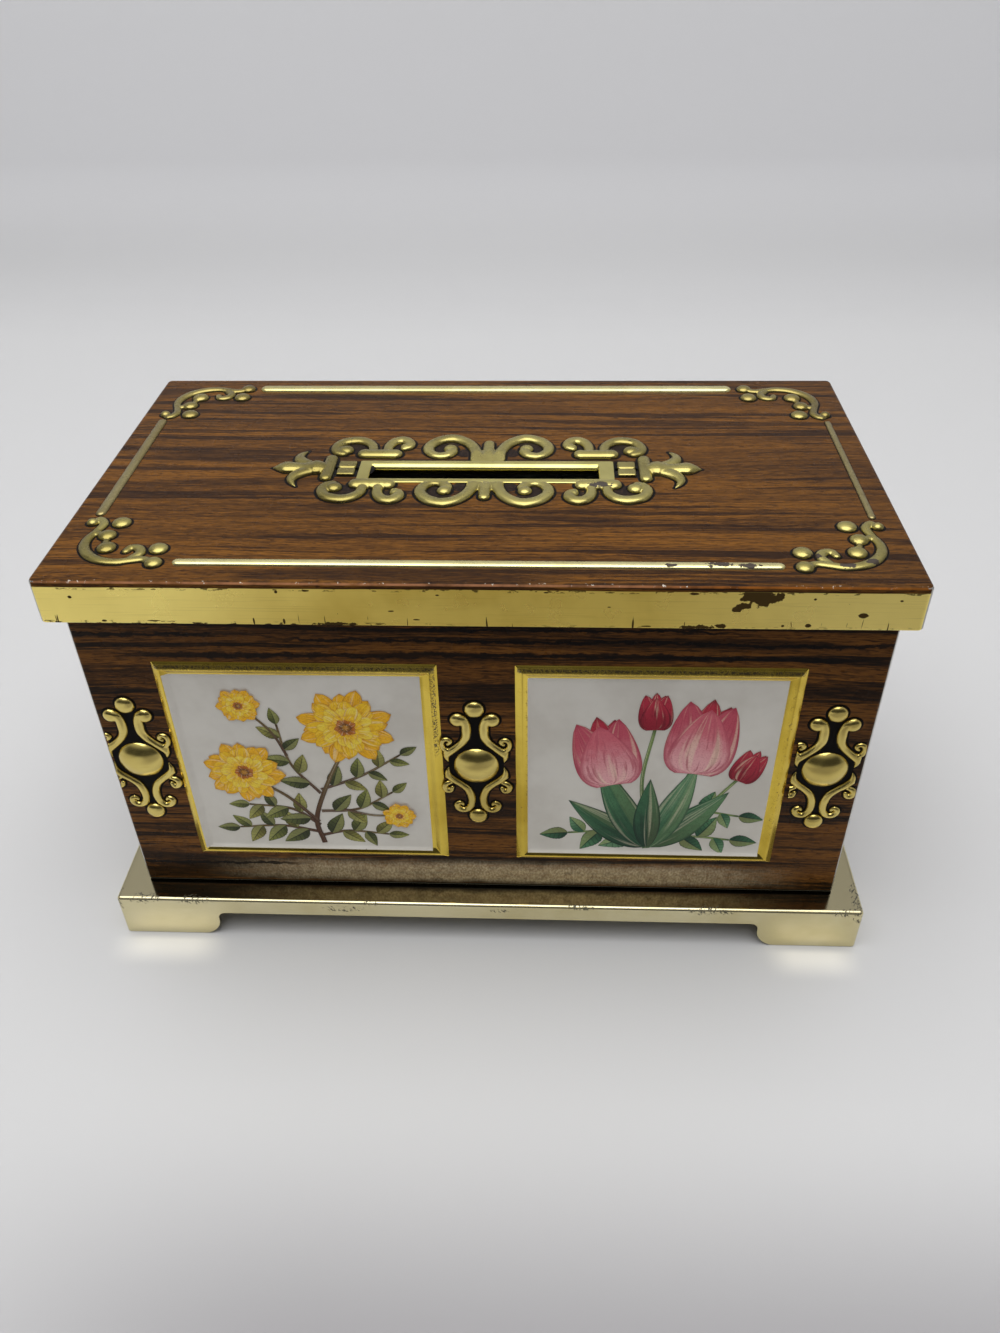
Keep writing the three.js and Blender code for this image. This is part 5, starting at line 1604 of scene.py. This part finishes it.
@dataclass
class PictureFrame:
    """One pressed moulding with its white field, on the front of the body."""

    name: str
    low_x: float
    high_x: float
    finish: FramePrint
    low_z: float = 20.2
    high_z: float = 70.6

    def build(self) -> None:
        """Presses the moulding and its field."""
        half_x = (self.high_x - self.low_x) / 2
        half_z = (self.high_z - self.low_z) / 2
        rows = [(0, -0.15, 0.25), (0, 0.02, 0.25), (-0.35, 0.26, 0.2), (-0.9, 0.58, 0.15), (-1.2, 0.72, 0.12)]
        rows += [(-1.35, 0.75, 0.1), (-1.5, 0.72, 0.1), (-1.8, 0.55, 0.1), (-2.3, 0.25, 0.12), (-2.6, 0.08, 0.15)]
        rows += [(-2.9, 0.03, 0.2), (-3.4, 0.03, 0.25)]
        rings = [Ring(half_x + out, half_z + out, radius, height) for out, height, radius in rows]
        piece = draw_rings(self.name, rings, Ends.CAPPED, 3)
        stood_up(piece, (self.low_x + self.high_x) / 2, (self.low_z + self.high_z) / 2)
        smoothed(piece, 42)
        dress(piece, "body", "printed_tin", self.finish)


@dataclass
class Plinth:
    """The pale gold tray on bracket feet."""

    layout: Layout = LAYOUT
    foot: float = 16.6
    foot_side: float = 13.6
    apron: float = 4.1

    def build(self) -> None:
        """Folds the tray and cuts its aprons."""
        size = self.layout
        top, wall, fold, turn = size.plinth_height, size.sheet, 0.8, 2.4
        outer = [(-turn, 0.0), (-0.25, 0.0), (-0.07, 0.07), (0, 0.25)]
        outer += arc_rows(-fold, top - fold, fold, 0, 90, 7)
        inner = [(-turn, 0.0), (-turn, wall), (-wall, wall)]
        inner += arc_rows(-fold, top - fold, fold - wall, 0, 90, 5)
        tray = folded("plinth_sheet", (size.plinth_half_x, size.plinth_half_y, size.plinth_corner), outer, inner)
        cut_with(tray, self.cutter(size.plinth_half_x - self.foot, size.plinth_half_y + 2, False))
        cut_with(tray, self.cutter(size.plinth_half_y - self.foot_side, size.plinth_half_x + 2, True))
        smoothed(tray)
        dress(tray, "body", "gold_tin", PLINTH_GOLD)
        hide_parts("plinth_tray")

    def cutter(self, edge: float, reach: float, turned: bool) -> Piece:
        """The form of the gap between two feet, run right through the tray.

        Args:
            edge: Where the flat underside of a foot ends.
            reach: Half the cutter's length.
            turned: Whether it runs along x.

        Returns:
            A closed object.
        """
        top = self.layout.plinth_height - self.apron
        toe, throat = 4.6, 1.6
        right = [(edge, -1.0)] + [(edge - toe * math.sin(a), toe - toe * math.cos(a)) for a in angles(8)]
        side = edge - toe - throat
        right += [(side + throat * math.cos(a), top - throat + throat * math.sin(a)) for a in angles(6)]
        outline = right + [(-x, z) for x, z in reversed(right)]
        piece = added(bpy.ops.mesh.primitive_circle_add, vertices=len(outline), radius=MM, fill_type="NGON")
        for vert, (x, z) in zip(piece.data.vertices, outline):
            vert.co = Vector((x, -reach, z)) * MM
        with whole_mesh(piece):
            bpy.ops.mesh.extrude_region_move(TRANSFORM_OT_translate={"value": (0, 2 * reach * MM, 0)})
            bpy.ops.mesh.select_all(action="SELECT")
            bpy.ops.mesh.normals_make_consistent(inside=False)
        if turned:
            piece.rotation_euler = (0, 0, math.radians(90))
        return settle(piece)


def angles(steps: int) -> list[float]:
    """Angles from 0 to a quarter turn in even steps."""
    return [i / steps * math.pi / 2 for i in range(steps + 1)]


class Shape(Enum):
    """Outlines of the painted forms."""

    PETAL = "petal"
    CUP = "cup"
    LEAF = "leaf"
    BLADE = "blade"


@dataclass
class Petal:
    """A painted petal or leaf that lies on a print, in millimetres."""

    shape: Shape
    x: float
    z: float
    length: float
    width: float
    turn: float
    inks: tuple
    bend: float = 0.0
    ribs: float = 0.0
    rim: float = 0.5

    def draw(self, depth: float, seed: float) -> Piece:
        """Shapes a grid into the form and paints it.

        Args:
            depth: Its distance before the body's middle plane, in millimetres.
            seed: A number between 0 and 1 that sets its veins apart.

        Returns:
            The form, upright just in front of the body.
        """
        rows = 30 if self.shape is Shape.LEAF else 16
        piece = added(bpy.ops.mesh.primitive_grid_add, x_subdivisions=10, y_subdivisions=rows, size=2)
        paint_form(piece, self.inks, (seed, self.ribs, self.rim))
        turn = math.radians(self.turn)
        for vert in piece.data.vertices:
            across, along = vert.co.x, (vert.co.y + 1) / 2
            half = self.half_width(along)
            side = across * half + self.bend * along * along * self.length
            up = along * self.length - across * across * half * 0.3 * along
            x = self.x + side * math.cos(turn) - up * math.sin(turn)
            z = self.z + side * math.sin(turn) + up * math.cos(turn)
            vert.co = (x * MM, -depth * MM, z * MM)
        return piece

    def half_width(self, along: float) -> float:
        """Half the form's width at a share of its length."""
        if self.shape is Shape.PETAL:
            swell = 0.28 + 0.72 * math.sin(min(1.0, along / 0.68) * math.pi / 2)
            close = math.sqrt(max(0.0, 1 - (max(0.0, along - 0.68) / 0.32) ** 2))
            return self.width / 2 * swell * close
        if self.shape is Shape.CUP:
            return self.width / 2 * math.sin(math.pi * min(1.0, along**0.62)) ** 0.62
        if self.shape is Shape.BLADE:
            return self.width / 2 * max(0.0, math.sin(math.pi * min(1.0, 0.06 + 0.94 * along**0.8))) ** 0.9
        teeth = 1 + 0.1 * (1 - (along * 9) % 1.0)
        return self.width / 2 * teeth * math.sin(math.pi * min(1.0, along**0.78)) ** 0.85


def paint_form(piece: Piece, inks: tuple, values: tuple) -> None:
    """Writes a form's three inks and its three values into its mesh.

    Args:
        piece: The form.
        inks: Its base, tip and line colours.
        values: Its seed, how far it has ribs and how strong its rim is.
    """
    for name, ink, value in zip(("base", "tip", "line"), inks, values):
        paint = piece.data.color_attributes.new(name, "FLOAT_COLOR", "POINT")
        for spot in paint.data:
            spot.color = (*colour(ink)[:3], value)


@dataclass
class Stalk:
    """A painted stalk on a print, in millimetres."""

    places: list
    inks: tuple

    def draw(self, depth: float, seed: float) -> Piece:
        """Lays a tapering band along the stalk's line.

        Args:
            depth: Its distance before the body's middle plane, in millimetres.
            seed: A number between 0 and 1 that sets its veins apart.

        Returns:
            The band, upright just in front of the body.
        """
        points = spread_places(self.places, 25)
        piece = added(bpy.ops.mesh.primitive_grid_add, x_subdivisions=4, y_subdivisions=len(points) - 1, size=2)
        paint_form(piece, self.inks, (seed, 0.0, 0.7))
        for vert in piece.data.vertices:
            across, row = vert.co.x, round((vert.co.y + 1) / 2 * (len(points) - 1))
            point = points[row]
            ahead = points[min(row + 1, len(points) - 1)]
            behind = points[max(row - 1, 0)]
            along = (ahead - behind).xy.normalized()
            x = point.x + along.y * across * point.z
            z = point.y - along.x * across * point.z
            vert.co = (x * MM, -depth * MM, z * MM)
        return piece


ORANGE = ((196, 84, 8), (250, 190, 24), (150, 62, 10))
AMBER = ((214, 112, 10), (252, 206, 34), (176, 84, 12))
LEMON = ((226, 140, 16), (254, 224, 70), (196, 112, 18))
HEART = ((92, 44, 14), (196, 112, 24), (60, 28, 10))
OLIVES = (
    ((70, 78, 34), (128, 134, 62), (38, 42, 22)), ((52, 60, 30), (96, 104, 52), (28, 32, 20)),
    ((94, 92, 40), (152, 148, 70), (56, 52, 26)),
)
TWIG = ((84, 52, 34), (112, 92, 52), (50, 32, 22))
PINK = ((226, 150, 158), (198, 82, 100), (160, 40, 66))
ROSY = ((238, 178, 180), (212, 104, 118), (172, 54, 78))
CRIMSON = ((150, 22, 44), (186, 44, 66), (88, 8, 26))
GREENS = (
    ((34, 82, 54), (78, 130, 88), (18, 50, 36)), ((52, 104, 70), (106, 150, 108), (28, 66, 48)),
    ((26, 66, 46), (58, 108, 72), (14, 38, 28)),
)
SAP = ((64, 104, 56), (120, 146, 76), (40, 70, 40))


@dataclass
class FlowerPrint:
    """A generic spray of flowers on one white field."""

    name: str
    forms: list = field(default_factory=list)

    def whorl(self, x: float, z: float, reach: float, count: int, inks: tuple, start: float) -> None:
        """Adds one ring of petals.

        Args:
            x: Place of its middle.
            z: Place of its middle.
            reach: Its radius.
            count: Number of petals.
            inks: Base, tip and line colours.
            start: Turn of the first petal in degrees.
        """
        for i in range(count):
            turn = start + i * 360 / count + 6 * math.sin(i * 2.3 + x)
            long = reach * (0.94 + 0.07 * math.sin(i * 3.1 + z))
            wide = reach * 6.4 / count
            self.forms.append(Petal(Shape.PETAL, x, z, long, wide, turn, inks, 0.03 * math.sin(i * 1.7), 0.0, 0.45))

    def daisy(self, x: float, z: float, reach: float, count: int = 15) -> None:
        """Adds a full daisy of three whorls with a speckled heart."""
        self.whorl(x, z, reach, count, ORANGE, 4.0)
        self.whorl(x, z, reach * 0.82, count - 1, AMBER, 15.0)
        self.whorl(x, z, reach * 0.6, count - 2, LEMON, 9.0)
        self.whorl(x, z, reach * 0.36, count - 4, AMBER, 3.0)
        self.whorl(x, z, reach * 0.24, 11, HEART, 0.0)
        self.whorl(x, z, reach * 0.13, 7, ((214, 150, 44), (120, 70, 20), (60, 30, 12)), 20.0)

    def tulip(self, x: float, z: float, size: float, turn: float, front: tuple, back: tuple) -> None:
        """Adds a tulip seen from the side.

        Args:
            x: Place of its foot.
            z: Place of its foot.
            size: Its height.
            turn: How far it leans, in degrees.
            front: Colours of the front petals.
            back: Colours of the petals behind.
        """
        for lean, share, wide in ((-11, 0.98, 0.5), (12, 0.96, 0.5), (0, 1.04, 0.46)):
            self.forms.append(Petal(Shape.CUP, x, z, size * share, size * wide, turn + lean, back, 0.0, 0.0, 0.6))
        for lean, share, bend in ((21, 1.0, 0.13), (-21, 0.98, -0.13)):
            self.forms.append(Petal(Shape.CUP, x, z, size * share, size * 0.56, turn + lean, front, bend, 0.0, 0.6))
        middle = ROSY if front is PINK else front
        self.forms.append(Petal(Shape.CUP, x, z, size * 0.9, size * 0.66, turn, middle, 0.0, 0.0, 0.55))

    def sprig(self, places: list, count: int, long: float, wide: float, inks: tuple, stalk: tuple) -> None:
        """Adds a stalk with leaves to both sides and one at its end.

        Args:
            places: Places of the stalk's line, with half widths.
            count: Number of side leaves.
            long: Length of its first leaves.
            wide: Width of its first leaves.
            inks: Colour sets, taken in turn.
            stalk: Colours of the stalk.
        """
        self.forms.append(Stalk(places, stalk))
        points = spread_places(places, count + 2)
        for i in range(1, count + 2):
            step = (points[i] - points[i - 1]).xy
            turn = math.degrees(math.atan2(-step.x, step.y))
            lean = 0.0 if i == count + 1 else (54 if i % 2 else -54)
            share = 1 - 0.3 * i / (count + 1) + 0.08 * math.sin(i * 2.7)
            reach, bend, ink = (long * share, wide * share), 0.1 * math.sin(i * 1.9), inks[i % len(inks)]
            self.forms.append(Petal(Shape.LEAF, *points[i].xy, *reach, turn + lean, ink, bend, 1.0, 0.6))

    def blade(self, x: float, z: float, long: float, wide: float, turn: float, inks: tuple, bend: float) -> None:
        """Adds one long leaf with fine lines along it."""
        self.forms.append(Petal(Shape.BLADE, x, z, long, wide, turn, inks, bend, 0.25, 0.7))

    def build(self) -> None:
        """Draws every form a hair before the last one and joins them into one print."""
        first = LAYOUT.body_half_y + 0.06
        drawn = [form.draw(first + 0.0013 * i, (i * 0.618) % 1.0) for i, form in enumerate(self.forms)]
        print_piece = joined(drawn, self.name)
        with whole_mesh(print_piece):
            bpy.ops.mesh.remove_doubles(threshold=0.0000002)
            bpy.ops.mesh.dissolve_degenerate(threshold=0.0000002)
        dress(print_piece, "body", "printed_tin", FLOWER_INK)


def daisy_print() -> FlowerPrint:
    """The left field: full yellow daisies over sprigs of olive leaves."""
    spray = FlowerPrint("daisy_print")
    for places, count, long in (
        ([(-33.4, 26.0, 0.42), (-27.5, 27.4, 0.34), (-19.5, 26.6, 0.22)], 5, 6.4),
        ([(-33.6, 27.0, 0.42), (-41.0, 28.6, 0.34), (-50.0, 28.0, 0.22)], 6, 6.6),
        ([(-33.3, 29.0, 0.42), (-38.5, 33.5, 0.34), (-47.0, 34.6, 0.22)], 5, 6.4),
        ([(-32.6, 33.0, 0.4), (-25.0, 33.8, 0.32), (-17.8, 38.6, 0.22)], 5, 6.0),
        ([(-32.0, 39.0, 0.36), (-23.5, 43.0, 0.3), (-15.6, 48.6, 0.2)], 6, 5.6),
        ([(-32.2, 38.0, 0.36), (-37.2, 46.0, 0.3), (-38.6, 56.0, 0.22)], 5, 6.2),
    ):
        spray.sprig(places, count, long, long * 0.5, OLIVES, TWIG)
    for places in (
        [(-33.0, 23.8, 0.55), (-33.8, 31.0, 0.5), (-30.0, 42.0, 0.42), (-25.2, 52.0, 0.36)],
        [(-33.4, 30.0, 0.42), (-39.0, 37.0, 0.36), (-45.0, 41.5, 0.3)],
        [(-37.6, 48.0, 0.3), (-39.8, 54.0, 0.27), (-44.0, 59.5, 0.24)],
        [(-28.0, 33.6, 0.3), (-22.0, 32.0, 0.25), (-17.6, 32.4, 0.22)],
    ):
        spray.forms.append(Stalk(places, TWIG))
    spray.daisy(-25.4, 55.4, 9.4, 16)
    spray.daisy(-46.6, 43.6, 8.3, 15)
    spray.daisy(-45.0, 60.6, 4.4, 12)
    spray.daisy(-16.9, 32.2, 3.6, 11)
    return spray


def tulip_print() -> FlowerPrint:
    """The right field: pink and crimson tulips with broad green leaves."""
    spray = FlowerPrint("tulip_print")
    for places, count, long in (
        ([(33.0, 26.0, 0.42), (26.0, 28.6, 0.34), (17.0, 28.0, 0.24)], 4, 7.6),
        ([(33.4, 26.0, 0.42), (41.5, 27.4, 0.34), (49.5, 26.6, 0.24)], 4, 7.4),
        ([(33.6, 30.0, 0.4), (42.0, 34.4, 0.32), (50.6, 33.4, 0.22)], 4, 6.6),
    ):
        spray.sprig(places, count, long, long * 0.56, GREENS, SAP)
    for places in (
        [(33.0, 23.8, 0.75), (31.6, 32.0, 0.66), (25.8, 42.6, 0.56)],
        [(33.4, 24.2, 0.7), (36.6, 35.0, 0.6), (40.4, 45.6, 0.52)],
        [(33.2, 28.0, 0.45), (31.0, 42.0, 0.38), (32.6, 56.4, 0.32)],
        [(34.0, 27.0, 0.45), (42.4, 34.0, 0.38), (49.4, 43.6, 0.32)],
    ):
        spray.forms.append(Stalk(places, SAP))
    for x, z, long, wide, turn, inks, bend in (
        (32.6, 24.6, 20.0, 6.4, 58, GREENS[2], 0.12), (33.6, 24.6, 21.0, 6.6, -50, GREENS[0], -0.12),
        (32.8, 24.4, 25.0, 6.6, 30, GREENS[0], 0.1), (33.4, 24.4, 24.0, 6.2, -24, GREENS[1], -0.08),
        (33.0, 24.2, 19.0, 5.4, 4, GREENS[2], 0.05),
    ):
        spray.blade(x, z, long, wide, turn, inks, bend)
    spray.tulip(25.6, 41.6, 17.0, 13, PINK, CRIMSON)
    spray.tulip(40.6, 44.8, 18.0, -7, PINK, CRIMSON)
    spray.tulip(32.6, 55.8, 8.6, 2, CRIMSON, CRIMSON)
    spray.tulip(49.5, 43.0, 8.2, -22, CRIMSON, CRIMSON)
    return spray


@dataclass
class Fittings:
    """Floor pan, hinges and rivets, which keep their solids."""

    def build(self) -> None:
        """Gives each kept solid its finish."""
        for name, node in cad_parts.items():
            if name.startswith("hinge"):
                finish = STEEL if name.endswith("pin") else BRASS
            else:
                finish = RIVET if "rivet" in name else TIN
            node.data.materials.clear()
            node.data.materials.append(finish.material())
            LOG.info("kept solid %s: %s", name, finish.name)


@dataclass
class Studio:
    """Floor, backdrop, lights and camera."""

    floor_colour: tuple = (199, 199, 199)
    painted_shadow_colour: tuple = (148, 146, 148)
    glow_colour: tuple = (234, 232, 226)
    wall_colour: tuple = (188, 188, 189)
    upper_colour: tuple = (230, 230, 232)
    focal_pixels: float = 1063.131
    picture_height: int = 1333
    sensor: float = 36.0

    def build(self) -> None:
        """Sets up the room and the view."""
        self.sweep()
        self.lamp()
        self.world()
        self.camera()

    def sweep(self) -> None:
        """Lays the pale floor, which curves up into the backdrop."""
        floor = added(bpy.ops.mesh.primitive_plane_add, size=2, location=(0, -0.87, 0))
        floor.name = "studio_floor"
        floor.scale = (2.2, 1.2, 1)
        settle(floor)
        sweep, wall, turn = 0.06, 1.6, 10
        with whole_mesh(floor):
            mesh = bmesh.from_edit_mesh(floor.data)
            for edge in mesh.edges:
                edge.select_set(all(vert.co.y > 0.2 for vert in edge.verts))
            bmesh.update_edit_mesh(floor.data)
            for degrees in range(turn, 90 + turn // 2, turn):
                angle, last = math.radians(degrees), math.radians(degrees - turn)
                ahead, up = math.sin(angle) - math.sin(last), math.cos(last) - math.cos(angle)
                bpy.ops.mesh.extrude_edges_move(TRANSFORM_OT_translate={"value": (0, sweep * ahead, sweep * up)})
            bpy.ops.mesh.extrude_edges_move(TRANSFORM_OT_translate={"value": (0, 0, wall)})
            bpy.ops.mesh.select_all(action="SELECT")
            bpy.ops.mesh.normals_make_consistent(inside=False)
        bpy.ops.object.shade_smooth()
        floor.data.materials.append(self.sweep_material())

    def sweep_material(self) -> bpy.types.Material:
        """Matt white floor with a painted shadow in front of the box and painted pools of light in front of the end
        feet; the backdrop is greyer low down and lighter higher up.
        """
        made = bpy.data.materials.new("studio_sweep")
        sketch = sketched(made)
        x, y, z = sketch.split(sketch.place())
        # Painted shadow: the floor in front of the box is darker.
        close = sketch.times(sketch.range(y, -0.08, -0.13), sketch.range(x, -0.13, -0.02))
        close = sketch.times(close, sketch.range(x, 0.2, 0.06, 0.7, 1.0))
        near = sketch.mix(close, self.floor_colour, self.painted_shadow_colour)
        # Painted light: pale pools on the floor in front of the two end feet.
        for middle, half in ((-0.068, 0.014), (0.069, 0.011)):
            glow = sketch.range(sketch.apart(x, middle), half, half * 0.3)
            glow = sketch.times(glow, sketch.range(y, -0.0525, -0.0465), sketch.range(y, -0.0435, -0.0455))
            near = sketch.mix(glow, near, self.glow_colour)
        wall = sketch.mix(sketch.range(z, 0.012, 0.06), self.wall_colour, self.upper_colour)
        tint = sketch.mix(sketch.range(y, 0.3, 0.4), near, wall)
        shader = sketch.fed("ShaderNodeBsdfPrincipled", {"Base Color": tint, "Roughness": 0.6})
        sketch.fed("ShaderNodeOutputMaterial", {"Surface": shader.outputs[0]})
        return made

    def lamp(self) -> None:
        """Hangs a broad soft lamp overhead."""
        place, target = Vector((-0.06, -0.08, 1.1)), Vector((0, 0, 0.05))
        lamp = added(bpy.ops.object.light_add, type="AREA", location=place)
        lamp.name = "lamp_overhead"
        lamp.data.shape = "SQUARE"
        lamp.data.size = 1.2
        lamp.data.energy = 14.0
        lamp.rotation_euler = (target - place).to_track_quat("-Z", "Y").to_euler()

    def world(self) -> None:
        """Lights the room evenly, with a darker band level with the box towards the front."""
        world = bpy.data.worlds.new("studio_world")
        bpy.context.scene.world = world
        sketch = sketched(world)
        y, z = sketch.split(sketch.add("ShaderNodeTexCoord").outputs["Generated"])[1:]
        dark = sketch.times(sketch.window(z, (-0.2, 0.0), (0.75, 0.4)), sketch.range(y, -0.2, -0.6))
        tint = sketch.mix(dark, (205, 205, 207), (78, 78, 80))
        back = sketch.fed("ShaderNodeBackground", {"Color": tint, "Strength": 0.75})
        sketch.fed("ShaderNodeOutputWorld", {"Surface": back.outputs[0]})

    def camera(self) -> None:
        """Sets the photograph's view."""
        data = bpy.data.cameras.new("view")
        camera = bpy.data.objects.new("view", data)
        bpy.context.scene.collection.objects.link(camera)
        data.sensor_width = self.sensor
        data.lens = self.focal_pixels / self.picture_height * self.sensor
        data.clip_start = 0.01
        data.clip_end = 20.0
        camera.location = (0.01180, -0.18778, 0.18675)
        camera.rotation_euler = Euler([math.radians(a) for a in (52.174, 0.952, 2.259)], "XYZ")
        bpy.context.scene.camera = camera


def main() -> None:
    """Builds the casket's looks in order."""
    logging.basicConfig(level=logging.INFO, format="%(name)s %(message)s")
    view = bpy.context.scene.view_settings
    view.view_transform = "Standard"
    clear_selection()
    Lid().build()
    Body().build()
    PictureFrame("left_picture_frame", -59.4, -7.45, LEFT_FRAME).build()
    PictureFrame("right_picture_frame", 6.6, 58.55, RIGHT_FRAME).build()
    daisy_print().build()
    tulip_print().build()
    Plinth().build()
    Fittings().build()
    Studio().build()
    clear_selection()


if __name__ == "__main__":
    main()
